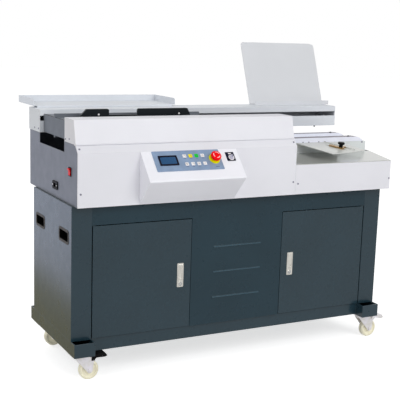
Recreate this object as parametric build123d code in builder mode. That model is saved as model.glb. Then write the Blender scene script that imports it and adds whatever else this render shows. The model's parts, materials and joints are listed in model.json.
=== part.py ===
from build123d import *
from math import atan2, cos, degrees, hypot, radians, sin
import os

# Perfect binding machine: a cabinet on casters, the binding line above it and the tables beside it.
# Millimetres. +X is the way the book travels, +Y is to the rear, +Z is up.
# The origin is on the floor, at the middle of the footprint.

# Cabinet and base
CABINET_W = 1375.0
CABINET_D = 444.0
CABINET_H = 503.0
CABINET_SHEET = 2.0
SEAM = 0.1
TOP_FLANGE = 22.0
CASTER_H = 106.0
SKID_W = 81.0
SKID_H = 52.0
SKID_WALL = 4.0
SKID_OVERRUN = 39.0
APRON_H = 49.0
APRON_SETBACK = 8.0
APRON_FLANGE = 30.0
APRON_WALL = 3.0

# Doors, louvred centre panel and locks
DOOR_W = 401.0
DOOR_H = 424.0
DOOR_T = 20.0
DOOR_SKIN = 1.5
DOOR_BOTTOM = 3.0
CENTRE_W = 405.0
GAP_HINGE = 4.0
GAP_LATCH = 2.0
GAP_TOP = 3.0
PIVOT_INSET = 4.5
PIVOT_R = 3.0
PIVOT_PIN_H = 12.0
PIVOT_LUG = 16.0
PIVOT_LUG_T = 2.0
LOUVRE_W = 212.0
LOUVRE_H = 5.5
LOUVRE_PROUD = 3.0
LOUVRE_HEIGHTS = (107.5, 210.0, 310.5)
LOCK_W = 27.0
LOCK_H = 94.0
LOCK_PROUD = 1.2
LOCK_DEPTH = 17.0
LOCK_RIM = 2.2
LOCK_EDGE = 30.5
LOCK_BOTTOM = 164.0
FLAP_H = 60.0
FLAP_T = 6.0
FLAP_AXIS_DROP = 5.0
FLAP_PIN_R = 1.5
LOCK_KEY_R = 7.5

# Side handles
CUP_W = 111.0
CUP_H = 54.0
CUP_DEPTH = 27.0
CUP_WALL = 1.8
CUP_RIM = 9.5
CUP_PROUD = 1.2
CUP_CORNER = 15.5
CUP_Z = 383.0
CUP_FRONT_Y = 82.0
CUP_REAR_Y = 358.0

# Upper body
BODY_INSET = 10.0
BODY_H = 222.0
BODY_SHEET = 2.0
BODY_PROUD = 32.5
BODY_REAR = 80.0
BODY_END_PROUD = 22.0
DECK_T = 4.0
MAIN_LENGTH = 912.5
CHAMFER_D = 25.0
PANEL_FLANGE = 14.0
CHAMFER_H = 27.0
CHANNEL_FRONT = 110.0
CHANNEL_REAR = 397.0
NOTCH_DEPTH = 39.0
LOW_REAR_H = 142.0

# Slanted control console
CONSOLE_X = 238.0
CONSOLE_W = 396.5
CONSOLE_DEPTH = 93.0
CONSOLE_TOP_DROP = 28.0
CONSOLE_EDGE_DROP = 97.5
CONSOLE_WALL = 2.0
CONSOLE_EDGE_R = 5.0
CONSOLE_FOOT = 1.0
KEYPAD_X = 41.5
KEYPAD_TOP = 2.0
KEYPAD_W = 275.0
KEYPAD_H = 90.0
KEYPAD_T = 1.5
KEYPAD_BOX = 8.0
KEYPAD_BOX_INSET = 7.0
KEY_SIZE = 14.0
KEY_PROUD = 1.8
KEY_DEPTH = 3.0
KEY_TRAVEL = 1.2
KEY_FIT = 0.3
KEY_X = 126.5
KEY_PITCH = 24.8
KEY_ROW_TOP = 25.5
KEY_ROW_PITCH = 36.0
DISPLAY_W = 76.0
DISPLAY_H = 44.0
DISPLAY_X = 19.0
DISPLAY_TOP = 21.0
DISPLAY_PROUD = 2.0
DISPLAY_FRAME = 6.5
DISPLAY_BODY = 12.0
ESTOP_X = 246.5
ESTOP_DOWN = 42.0
ESTOP_COLLAR_R = 22.5
ESTOP_COLLAR_T = 7.0
ESTOP_HEAD_R = 20.0
ESTOP_HEAD_T = 11.0
ESTOP_GAP = 6.5
ESTOP_TRAVEL = 5.0
ESTOP_STEM_R = 7.0
ESTOP_BARREL_R = 11.0
ESTOP_BARREL_L = 30.0
SELECTOR_X = 359.5
SELECTOR_DOWN = 44.0
LEGEND_W = 36.0
LEGEND_H = 40.0
LEGEND_T = 1.2
LEGEND_RISE = 7.5
SELECTOR_RING_R = 12.0
SELECTOR_RING_T = 4.0
SELECTOR_KNOB_R = 9.0
SELECTOR_KNOB_T = 9.0
SELECTOR_GRIP_T = 7.0
SELECTOR_FLOOR = 0.6
SELECTOR_STEM_R = 5.0
SELECTOR_STEM_L = 12.0

# Fittings in the left side
INLET_Y = 205.0
INLET_Z = 549.0
INLET_W = 54.0
INLET_H = 31.0
INLET_T = 4.5
INLET_BODY_W = 27.0
INLET_BODY_H = 20.0
INLET_BODY_L = 24.0
POWER_Y = 45.0
POWER_Z = 623.0
POWER_W = 26.0
POWER_H = 33.0
POWER_RIM = 3.5
POWER_BODY_L = 22.0

# Front cover
COVER_H = 87.0
COVER_LEAN = 22.0
COVER_REAR = 107.5
COVER_SHEET = 2.0
COVER_GAP = 0.6
HINGE_R = 2.2
HINGE_PIN_R = 1.2
HINGE_OUT = 3.0
HINGE_UP = 1.0
HINGE_KNUCKLES = 12
HINGE_SLIT = 0.6

# Rear beam and guide shafts
BEAM_LENGTH = 1398.0
BEAM_D = 140.0
BEAM_H = 88.0
BEAM_SHEET = 2.5
BEAM_SLOT_Z = 45.0
BEAM_SLOT_H = 19.0
SHAFT_R = 10.0
SHAFT_Z = 25.0
SHAFT_FRONT = 43.0
SHAFT_SPACING = 60.0
SHAFT_BLOCK_T = 12.0
SHAFT_BLOCK_W = 34.0

# Book carriage and clamp
CARRIAGE_X = 25.0
CARRIAGE_L = 610.0
CHEEK_T = 72.0
CARRIAGE_TOP = 71.0
CARRIAGE_GAP = 3.0
CARRIAGE_SHEET = 6.0
REGISTER_Y = 260.0
CLAMP_OPEN = 61.0
JAW_T = 12.0
JAW_BOTTOM = 5.0
JAW_RUN = 85.0
JAW_X = 102.0
JAW_L = 454.0
JAW_PEAK = 107.5
JAW_TONGUE_H = 16.0
JAW_TONGUE_L = 12.0
SLIDER_X = 150.0
SLIDER_L = 340.0
SLIDER_H = 34.0
ARM_T = 13.0
RUN_FIT = 0.05
SLIDE_FIT = 0.3

# Milling, gluing and nipping
SPINE_DROP = 38.0
CUTTER_X = 560.0
CUTTER_R = 48.0
CUTTER_T = 14.0
CUTTER_TEETH = 10
CUTTER_SHAFT_R = 8.0
MOTOR_R = 44.0
MOTOR_L = 112.0
MOTOR_FOOT = 110.0
MOTOR_FOOT_T = 6.0
TANK_X = 690.0
TANK_L = 200.0
TANK_D = 130.0
TANK_H = 50.0
TANK_WALL = 5.0
ROLLER_X = 60.0
ROLLER_R = 25.0
ROLLER_SHAFT_R = 6.0
ROLLER_END_GAP = 1.0
NIP_X = CABINET_W - 445.0
NIP_L = 446.0
NIP_FRONT = 121.0
NIP_DEPTH = 179.0
NIP_TOP_T = 14.0
NIP_WALL = 3.0
NIPPER_H = 20.0
NIPPER_REAR_H = 20.0
NIPPER_DEPTH = 41.0
NIPPER_KEY_W = 12.0
NIPPER_KEY_H = 8.0
NIPPER_KEYS = (80.0, 360.0)

# Right-hand table with the adjustable stop
TABLE_FRONT_H = 120.5
TABLE_RISE = 21.5
TABLE_SHEET = 2.5
STOP_LIFT = 40.0
STOP_T = 3.0
STOP_CORNERS = ((1018.0, 120.5), (1084.0, -52.0), (1265.0, -17.0), (1236.0, 120.5))
STOP_FLANGE = 16.0
TONGUE_L = 64.0
TONGUE_W = 18.0
GUIDE_L = 16.0
STOP_FLANGE_T = 3.0
KNOB_PLACE = (1169.0, 16.0)
SLOT_TURN = 26.0
SLOT_BACK = -72.0
SLOT_AHEAD = 30.0
SLOT_R = 4.3
RAIL_SIDE = 32.0
RAIL_W = 3.0
RAIL_H = 4.0
RAIL_BACK = -98.0
RAIL_AHEAD = 50.0
BASE_L = 26.0
BASE_REACH = 11.0
BASE_T = 5.0
KNOB_R = 14.0
KNOB_CAP_T = 9.0
KNOB_NECK_R = 8.0
KNOB_NECK_T = 12.0
KNOB_SCREW_R = 3.0

# Book tray and lectern
TRAY_X = 13.0
TRAY_L = 622.0
TRAY_Y = 485.0
TRAY_D = 206.5
TRAY_RIM = 26.0
TRAY_SHEET = 2.0
TRAY_LEG = 6.0
TRAY_CORNER = 14.0
LECTERN_X = 1034.0
LECTERN_W = 396.0
LECTERN_Y = 486.0
LECTERN_SHELF = 52.0
LECTERN_LIP = 18.0
LECTERN_LENGTH = 293.0
LECTERN_LEAN = 20.8
LECTERN_SHEET = 3.0
LECTERN_CORNER = 12.0
LECTERN_CUT_W = 28.0
LECTERN_CUT_H = 5.0

# Casters
WHEEL_R = 37.5
WHEEL_W = 26.0
WHEEL_CROWN = 4.0
AXLE_R = 4.0
AXLE_NUT_R = 7.0
AXLE_NUT_T = 5.0
CASTER_TRAIL = 35.0
CASTER_Y = 19.0
CASTER_PLATE = 76.0
CASTER_PLATE_T = 4.0
CASTER_BOLT_R = 4.0
CASTER_BOLT_PITCH = 54.0
CASTER_BOLT_T = 5.0
RACE_R = 24.0
RACE_T = 8.0
KINGPIN_R = 6.0
KINGPIN_NUT_T = 4.0
FORK_SHEET = 3.0
FORK_SIDE_GAP = 2.5
FORK_TOP_T = 5.0
PEDAL_X = 46.0
PEDAL_Z = 80.0
PEDAL_L = 58.0
PEDAL_LIFT = 8.0
PEDAL_CHEEK_T = 2.5
PEDAL_PIN_R = 3.0

# Places that the pieces share, worked out from the sizes above
TRAY_REAR = TRAY_Y + TRAY_D
LEFT = CUP_PROUD - (CUP_PROUD + LECTERN_X + LECTERN_W) / 2
FRONT = (BODY_PROUD + CONSOLE_DEPTH - TRAY_REAR) / 2
RIGHT = LEFT + CABINET_W
BACK = FRONT + CABINET_D
MID = LEFT + CABINET_W / 2
BASE_Z = CASTER_H + SKID_H
DECK_Z = BASE_Z + CABINET_H
DECK_TOP = DECK_Z + DECK_T
BODY_TOP = DECK_Z + BODY_H
BODY_LEFT = LEFT + BODY_INSET
BODY_FRONT = FRONT - BODY_PROUD
BODY_BACK = BACK + BODY_REAR
BODY_RIGHT = RIGHT + BODY_END_PROUD
MAIN_RIGHT = BODY_LEFT + MAIN_LENGTH
BEAM_FRONT = FRONT + CHANNEL_REAR
BEAM_TOP = BODY_TOP + BEAM_H
REGISTER = FRONT + REGISTER_Y
JAW_FACE = REGISTER - CLAMP_OPEN
SPINE_Z = BODY_TOP - SPINE_DROP + 1.0
SHAFT_YS = (BEAM_FRONT + SHAFT_FRONT, BEAM_FRONT + SHAFT_FRONT + SHAFT_SPACING)
DOOR_Z = BASE_Z + DOOR_BOTTOM
DOOR_TOP = DOOR_Z + DOOR_H
POST_W = (CABINET_W - CENTRE_W) / 2 - GAP_LATCH - DOOR_W - GAP_HINGE
LEVEL_CORNER = (Align.MIN, Align.MIN, Align.MIN)


def save(piece, name):
    """Label a finished piece and write it as its own STEP file."""
    piece.label = name
    export_step(piece, f"parts/{name}.step")


def block(x0, x1, y0, y1, z0, z1, mode=Mode.ADD):
    """A box between two opposite corners, in the part that is being built."""
    with Locations((x0, y0, z0)):
        Box(x1 - x0, y1 - y0, z1 - z0, align=LEVEL_CORNER, mode=mode)


def side_plane(x):
    """A plane across the machine at one length: its own x is to the rear and its own y is up."""
    return Plane(origin=(x, 0, 0), x_dir=(0, 1, 0), z_dir=(1, 0, 0))


def front_plane(y):
    """A plane along the machine at one depth: its own x is along the machine and its own y is up."""
    return Plane(origin=(0, y, 0), x_dir=(1, 0, 0), z_dir=(0, -1, 0))


def prism(plane, points, length, mode=Mode.ADD):
    """A closed outline on a plane, drawn out along the plane's normal."""
    with BuildSketch(plane) as outline:
        with BuildLine():
            Polyline(*points, close=True)
        make_face()
    extrude(outline.sketch, amount=length, mode=mode)


def rod(plane, radius, length, mode=Mode.ADD):
    """A round bar that starts on a plane's origin and runs along its normal."""
    with BuildSketch(plane) as section:
        Circle(radius)
    extrude(section.sketch, amount=length, mode=mode)


def tile(plane, x, y, width, height, length, corner=0.0, mode=Mode.ADD):
    """A rectangle with rounded corners at a place on a plane, drawn out along the plane's normal."""
    with BuildSketch(plane) as outline:
        with Locations((x, y)):
            if corner > 0:
                RectangleRounded(width, height, corner)
            else:
                Rectangle(width, height)
    extrude(outline.sketch, amount=length, mode=mode)


def make_base_frame():
    """Two skids under the cabinet ends and two aprons between them, set face to face."""
    with BuildPart() as frame:
        for x in (LEFT, RIGHT - SKID_W):
            y0 = FRONT - SKID_OVERRUN
            y1 = BACK + SKID_OVERRUN
            block(x, x + SKID_W, y0, y1, CASTER_H, BASE_Z)
            block(x + SKID_WALL, x + SKID_W - SKID_WALL, y0 + SKID_WALL, y1 - SKID_WALL,
                  CASTER_H + SKID_WALL, BASE_Z, mode=Mode.SUBTRACT)
        inner = (LEFT + SKID_W, RIGHT - SKID_W)
        for face, turn in ((FRONT + APRON_SETBACK, 1), (BACK - APRON_SETBACK, -1)):
            wall = sorted((face, face + turn * APRON_WALL))
            sole = sorted((face, face + turn * APRON_FLANGE))
            block(*inner, *wall, BASE_Z - APRON_H, BASE_Z)
            block(*inner, *sole, BASE_Z - APRON_H, BASE_Z - APRON_H + APRON_WALL)
    save(frame.part, "base_frame")


def cup_places():
    """Heights and depths of the four side handles, as outward side, wall face, y and z."""
    for outward, face in ((-1, LEFT), (1, RIGHT)):
        for y in (CUP_FRONT_Y, CUP_REAR_Y):
            place = (face, FRONT + y, BASE_Z + CUP_Z)
            yield outward, Plane(origin=place, x_dir=(0, 1, 0), z_dir=(outward, 0, 0))


def make_cabinet():
    """Side walls, folded front posts with the door pivots, flanges, back and floor: sheets spot-welded
    together, with a seam between them."""
    inner_w = CUP_W - 2 * CUP_RIM
    inner_h = CUP_H - 2 * CUP_RIM
    step = CABINET_SHEET + SEAM
    with BuildPart() as shell:
        for edge, turn in ((LEFT, 1), (RIGHT, -1)):
            wall = sorted((edge, edge + turn * CABINET_SHEET))
            flange = sorted((edge + turn * step, edge + turn * TOP_FLANGE))
            post = sorted((edge, edge + turn * POST_W))
            fold = sorted((edge + turn * (POST_W - CABINET_SHEET), edge + turn * POST_W))
            lug = sorted((edge + turn * POST_W, edge + turn * (POST_W + PIVOT_LUG)))
            pin_x = edge + turn * (POST_W + GAP_HINGE + PIVOT_INSET)
            block(*wall, FRONT + step, BACK, BASE_Z, DECK_Z)
            block(*flange, FRONT + step, BACK - step, DECK_Z - CABINET_SHEET, DECK_Z)
            block(*post, FRONT, FRONT + CABINET_SHEET, BASE_Z, DECK_Z)
            block(*fold, FRONT, FRONT + DOOR_T + 2 * CABINET_SHEET, BASE_Z, DECK_Z - step)
            block(*lug, FRONT + CABINET_SHEET, FRONT + DOOR_T, DOOR_TOP + SLIDE_FIT,
                  DOOR_TOP + SLIDE_FIT + PIVOT_LUG_T)
            block(*lug, FRONT + CABINET_SHEET, FRONT + DOOR_T, BASE_Z, DOOR_Z - SLIDE_FIT)
            top = Plane(origin=(pin_x, FRONT + PIVOT_INSET, DOOR_TOP + SLIDE_FIT), z_dir=(0, 0, -1))
            low = Plane(origin=(pin_x, FRONT + PIVOT_INSET, DOOR_Z - SLIDE_FIT), z_dir=(0, 0, 1))
            rod(top, PIVOT_R, PIVOT_PIN_H)
            rod(low, PIVOT_R, PIVOT_PIN_H)
        block(LEFT + step, RIGHT - step, BACK - CABINET_SHEET, BACK, BASE_Z, DECK_Z)
        block(LEFT + TOP_FLANGE + SEAM, RIGHT - TOP_FLANGE - SEAM, BACK - TOP_FLANGE, BACK - step,
              DECK_Z - CABINET_SHEET, DECK_Z)
        block(LEFT + step, RIGHT - step, FRONT + DOOR_T + CABINET_SHEET + step, BACK - step, BASE_Z,
              BASE_Z + CABINET_SHEET)
        for outward, plane in cup_places():
            tile(plane, 0, 0, inner_w + 2 * CUP_WALL + 2 * SLIDE_FIT, inner_h + 2 * CUP_WALL + 2 * SLIDE_FIT,
                 -2 * CABINET_SHEET, corner=CUP_CORNER - CUP_RIM + CUP_WALL + SLIDE_FIT, mode=Mode.SUBTRACT)
    save(shell.part, "cabinet_shell")


def make_front_frame():
    """The sheet between the posts: a top rail and the louvred centre panel with folded edges."""
    rail_z = DOOR_TOP + GAP_TOP
    centre = (MID - CENTRE_W / 2, MID + CENTRE_W / 2)
    with BuildPart() as frame:
        block(LEFT + POST_W, RIGHT - POST_W, FRONT, FRONT + CABINET_SHEET, rail_z, DECK_Z)
        block(*centre, FRONT, FRONT + CABINET_SHEET, BASE_Z, DECK_Z)
        for x in (centre[0], centre[1] - CABINET_SHEET):
            block(x, x + CABINET_SHEET, FRONT, FRONT + DOOR_T, BASE_Z, rail_z)
        for z in LOUVRE_HEIGHTS:
            z0 = BASE_Z + z
            lip = ((FRONT, z0 - LOUVRE_H / 2), (FRONT - LOUVRE_PROUD, z0 - LOUVRE_H / 2),
                   (FRONT - LOUVRE_PROUD, z0 - LOUVRE_H / 2 + 2), (FRONT, z0 + LOUVRE_H / 2))
            prism(side_plane(MID - LOUVRE_W / 2), lip, LOUVRE_W)
            block(MID - LOUVRE_W / 2 + 2, MID + LOUVRE_W / 2 - 2, FRONT - LOUVRE_PROUD + 1.5,
                  FRONT + CABINET_SHEET, z0 - LOUVRE_H / 2, z0 - LOUVRE_H / 2 + 2.5, mode=Mode.SUBTRACT)
    save(frame.part, "front_frame")


def make_handle_cups():
    """Four flush handles: a rounded flange on the wall and a cup behind it."""
    with BuildPart() as cups:
        for outward, plane in cup_places():
            inner_w = CUP_W - 2 * CUP_RIM
            inner_h = CUP_H - 2 * CUP_RIM
            inner_r = CUP_CORNER - CUP_RIM
            tile(plane, 0, 0, CUP_W, CUP_H, CUP_PROUD, corner=CUP_CORNER)
            tile(plane, 0, 0, inner_w + 2 * CUP_WALL, inner_h + 2 * CUP_WALL, -CUP_DEPTH,
                 corner=inner_r + CUP_WALL)
            mouth = plane.offset(CUP_PROUD)
            tile(mouth, 0, 0, inner_w, inner_h, -(CUP_DEPTH + CUP_PROUD - CUP_WALL), corner=inner_r,
                 mode=Mode.SUBTRACT)
    save(cups.part, "handle_cups")


def make_door(name, hinge_edge, turn):
    """One door: a skin folded to the rear all round, cut for its lock, with holes for its pivots."""
    free_edge = hinge_edge + turn * DOOR_W
    x0, x1 = sorted((hinge_edge, free_edge))
    lock_x = free_edge - turn * (LOCK_EDGE + LOCK_W / 2)
    lock_z = BASE_Z + LOCK_BOTTOM + LOCK_H / 2
    pivot = (hinge_edge + turn * PIVOT_INSET, FRONT + PIVOT_INSET)
    with BuildPart() as door:
        block(x0, x1, FRONT, FRONT + DOOR_T, DOOR_Z, DOOR_TOP)
        block(x0 + DOOR_SKIN, x1 - DOOR_SKIN, FRONT + DOOR_SKIN, FRONT + DOOR_T, DOOR_Z + DOOR_SKIN,
              DOOR_TOP - DOOR_SKIN, mode=Mode.SUBTRACT)
        for z0 in (DOOR_Z, DOOR_TOP - PIVOT_PIN_H - DOOR_SKIN):
            boss = Plane(origin=(*pivot, z0), z_dir=(0, 0, 1))
            rod(boss, PIVOT_R + 1.4, PIVOT_PIN_H + DOOR_SKIN)
        for z0 in (DOOR_Z, DOOR_TOP - PIVOT_PIN_H):
            hole = Plane(origin=(*pivot, z0), z_dir=(0, 0, 1))
            rod(hole, PIVOT_R + RUN_FIT, PIVOT_PIN_H, mode=Mode.SUBTRACT)
        tile(front_plane(FRONT), lock_x, lock_z, LOCK_W - 2 * LOCK_RIM + 2 * SLIDE_FIT,
             LOCK_H - 2 * LOCK_RIM + 2 * SLIDE_FIT, -2 * DOOR_SKIN, mode=Mode.SUBTRACT)
    save(door.part, name)
    return lock_x, lock_z


def make_lock(side, lock_x, lock_z):
    """A flush lock: a rim on the door skin, a body behind it and a flap that hinges at its top."""
    flap_w = LOCK_W - 4 * LOCK_RIM
    flap_top = lock_z + LOCK_H / 2 - 2 * LOCK_RIM
    flap_mid = flap_top - FLAP_H / 2
    axis_z = flap_top - FLAP_AXIS_DROP
    axis_y = FRONT + FLAP_T / 2 - LOCK_PROUD
    key_z = lock_z - LOCK_H / 2 + 2 * LOCK_RIM + LOCK_KEY_R
    face = front_plane(FRONT - LOCK_PROUD)
    pin = Plane(origin=(lock_x - LOCK_W / 2 + LOCK_RIM, axis_y, axis_z), z_dir=(1, 0, 0))
    with BuildPart() as body:
        tile(front_plane(FRONT), lock_x, lock_z, LOCK_W, LOCK_H, LOCK_PROUD, corner=3)
        tile(front_plane(FRONT), lock_x, lock_z, LOCK_W - 2 * LOCK_RIM, LOCK_H - 2 * LOCK_RIM, -LOCK_DEPTH)
        tile(face, lock_x, flap_mid, flap_w + 2 * SLIDE_FIT, FLAP_H + 2 * SLIDE_FIT, -(FLAP_T + 4),
             mode=Mode.SUBTRACT)
        rod(pin, FLAP_PIN_R, LOCK_W - 2 * LOCK_RIM)
        cylinder = Plane(origin=(lock_x, FRONT - LOCK_PROUD, key_z), x_dir=(1, 0, 0), z_dir=(0, -1, 0))
        rod(cylinder, LOCK_KEY_R, 1.5)
        tile(face.offset(1.5), lock_x, key_z, 1.6, 8, -1.0, mode=Mode.SUBTRACT)
    save(body.part, f"lock_{side}")
    with BuildPart() as flap:
        tile(face, lock_x, flap_mid, flap_w, FLAP_H, -FLAP_T)
        top_edges = flap.edges().filter_by(Axis.X).group_by(Axis.Z)[-1]
        fillet(top_edges, FLAP_T / 2 - 0.2)
        rod(pin, FLAP_PIN_R + RUN_FIT, LOCK_W, mode=Mode.SUBTRACT)
        tile(face, lock_x, flap_mid - FLAP_H / 2 + 9, flap_w - 5, 8, -1.2, mode=Mode.SUBTRACT)
    save(flap.part, f"lock_flap_{side}")


def body_outline(rear_z):
    """The outline of the body's end walls: chamfered at the top front, notched for the book's way."""
    inside = panel_outline()[4:]
    flange_end = inside[0][0] + SLIDE_FIT
    return [*reversed(inside), (flange_end, BODY_TOP - BODY_SHEET), (flange_end, BODY_TOP),
            (FRONT + CHANNEL_FRONT, BODY_TOP), (FRONT + CHANNEL_FRONT, BODY_TOP - NOTCH_DEPTH),
            (BEAM_FRONT, BODY_TOP - NOTCH_DEPTH), (BEAM_FRONT, rear_z), (BODY_BACK, rear_z),
            (BODY_BACK, DECK_Z)]


def left_wall(y, z):
    """A plane on the outside of the body's left wall, seen from outside, at a place on the wall."""
    return Plane(origin=(BODY_LEFT, FRONT + y, BASE_Z + z), x_dir=(0, -1, 0), z_dir=(-1, 0, 0))


def make_body():
    """The deck, and the grey shell round it: left wall, inner wall, stepped back and low right wall."""
    front = BODY_FRONT + BODY_SHEET
    low_z = DECK_Z + LOW_REAR_H
    nip_back = FRONT + NIP_FRONT + NIP_DEPTH
    with BuildPart() as deck:
        block(BODY_LEFT + BODY_SHEET, BODY_RIGHT - BODY_SHEET, front, BODY_BACK - BODY_SHEET, DECK_Z,
              DECK_TOP)
    save(deck.part, "deck_plate")
    with BuildPart() as shell:
        prism(side_plane(BODY_LEFT), body_outline(BODY_TOP), BODY_SHEET)
        inner = [(y, max(z, DECK_TOP)) for y, z in body_outline(BODY_TOP)]
        inner[-2] = (BODY_BACK - BODY_SHEET, inner[-2][1])
        inner[-1] = (BODY_BACK - BODY_SHEET, inner[-1][1])
        prism(side_plane(MAIN_RIGHT - BODY_SHEET), inner, BODY_SHEET)
        block(BODY_LEFT, MAIN_RIGHT, BODY_BACK - BODY_SHEET, BODY_BACK, DECK_Z, BODY_TOP)
        block(MAIN_RIGHT, BODY_RIGHT, BODY_BACK - BODY_SHEET, BODY_BACK, DECK_Z, low_z)
        block(MAIN_RIGHT - BODY_SHEET, BODY_RIGHT, nip_back + SLIDE_FIT, BODY_BACK, low_z - BODY_SHEET, low_z)
        step = FRONT + NIP_FRONT
        right = [(front, DECK_Z), (front, table_under(front)), (step, table_under(step)), (step, low_z),
                 (BODY_BACK, low_z), (BODY_BACK, DECK_Z)]
        prism(side_plane(BODY_RIGHT - BODY_SHEET), right, BODY_SHEET)
        tile(left_wall(INLET_Y, INLET_Z), 0, 0, INLET_BODY_W + 2 * SLIDE_FIT, INLET_BODY_H + 2 * SLIDE_FIT,
             -BODY_SHEET, mode=Mode.SUBTRACT)
        tile(left_wall(POWER_Y, POWER_Z), 0, 0, POWER_W - POWER_RIM, POWER_H - POWER_RIM, -BODY_SHEET,
             mode=Mode.SUBTRACT)
    save(shell.part, "body_shell")


def panel_outline():
    """The front panel's section: face, chamfer and top flange, one sheet thick."""
    y, top, s = BODY_FRONT, BODY_TOP, BODY_SHEET
    dy = CHAMFER_D
    return [(y, DECK_Z), (y, top - CHAMFER_H), (y + dy, top), (y + dy + PANEL_FLANGE, top),
            (y + dy + PANEL_FLANGE, top - s), (y + dy + s * 0.5, top - s), (y + s, top - CHAMFER_H - s * 0.4),
            (y + s, DECK_Z)]


def hinge_axis():
    """Depth and height of the cover's long hinge, just outside the top of the chamfer."""
    return BODY_FRONT + CHAMFER_D - HINGE_OUT, BODY_TOP + HINGE_UP


def knuckles(first):
    """Every second stretch of the long hinge, from the first or the second one on."""
    pitch = MAIN_LENGTH / HINGE_KNUCKLES
    for i in range(first, HINGE_KNUCKLES, 2):
        yield BODY_LEFT + i * pitch + HINGE_SLIT / 2, BODY_LEFT + (i + 1) * pitch - HINGE_SLIT / 2


def make_front_panels():
    """The white panel under the cover, with its half of the long hinge, and the one under the table."""
    axis_y, axis_z = hinge_axis()
    with BuildPart() as panel:
        prism(side_plane(BODY_LEFT), panel_outline(), MAIN_LENGTH)
        for x0, x1 in knuckles(1):
            leaf = ((axis_y, axis_z - HINGE_R), (axis_y, axis_z), (axis_y + HINGE_OUT, axis_z - HINGE_UP),
                    (axis_y + HINGE_OUT, axis_z - HINGE_UP - 1.5))
            prism(side_plane(x0), leaf, x1 - x0)
            rod(Plane(origin=(x0, axis_y, axis_z), z_dir=(1, 0, 0)), HINGE_R, x1 - x0)
        rod(Plane(origin=(BODY_LEFT + HINGE_SLIT, axis_y, axis_z), z_dir=(1, 0, 0)), HINGE_PIN_R,
            MAIN_LENGTH - 2 * HINGE_SLIT)
    save(panel.part, "front_panel_left")
    top = table_under(BODY_FRONT)
    with BuildPart() as panel:
        block(MAIN_RIGHT + HINGE_SLIT, BODY_RIGHT, BODY_FRONT, BODY_FRONT + BODY_SHEET, DECK_Z, top)
        block(MAIN_RIGHT + HINGE_SLIT, BODY_RIGHT - BODY_SHEET, BODY_FRONT, BODY_FRONT + PANEL_FLANGE,
              top - BODY_SHEET, top)
    save(panel.part, "front_panel_right")


def console_plane():
    """The console's slanted face: origin at its top left corner, own x to the right, own y up the slope."""
    run = hypot(CONSOLE_DEPTH, CONSOLE_EDGE_DROP)
    normal = (0, -CONSOLE_EDGE_DROP / run, CONSOLE_DEPTH / run)
    corner = (BODY_LEFT + CONSOLE_X, BODY_FRONT, BODY_TOP - CONSOLE_TOP_DROP)
    return Plane(origin=corner, x_dir=(1, 0, 0), z_dir=normal)


def key_places():
    """Centres of the keys on the console's face, row by row."""
    for row in range(2):
        for column in range(4):
            down = KEYPAD_TOP + KEY_ROW_TOP + row * KEY_ROW_PITCH
            yield row, column, KEYPAD_X + KEY_X + column * KEY_PITCH, -down


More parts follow.
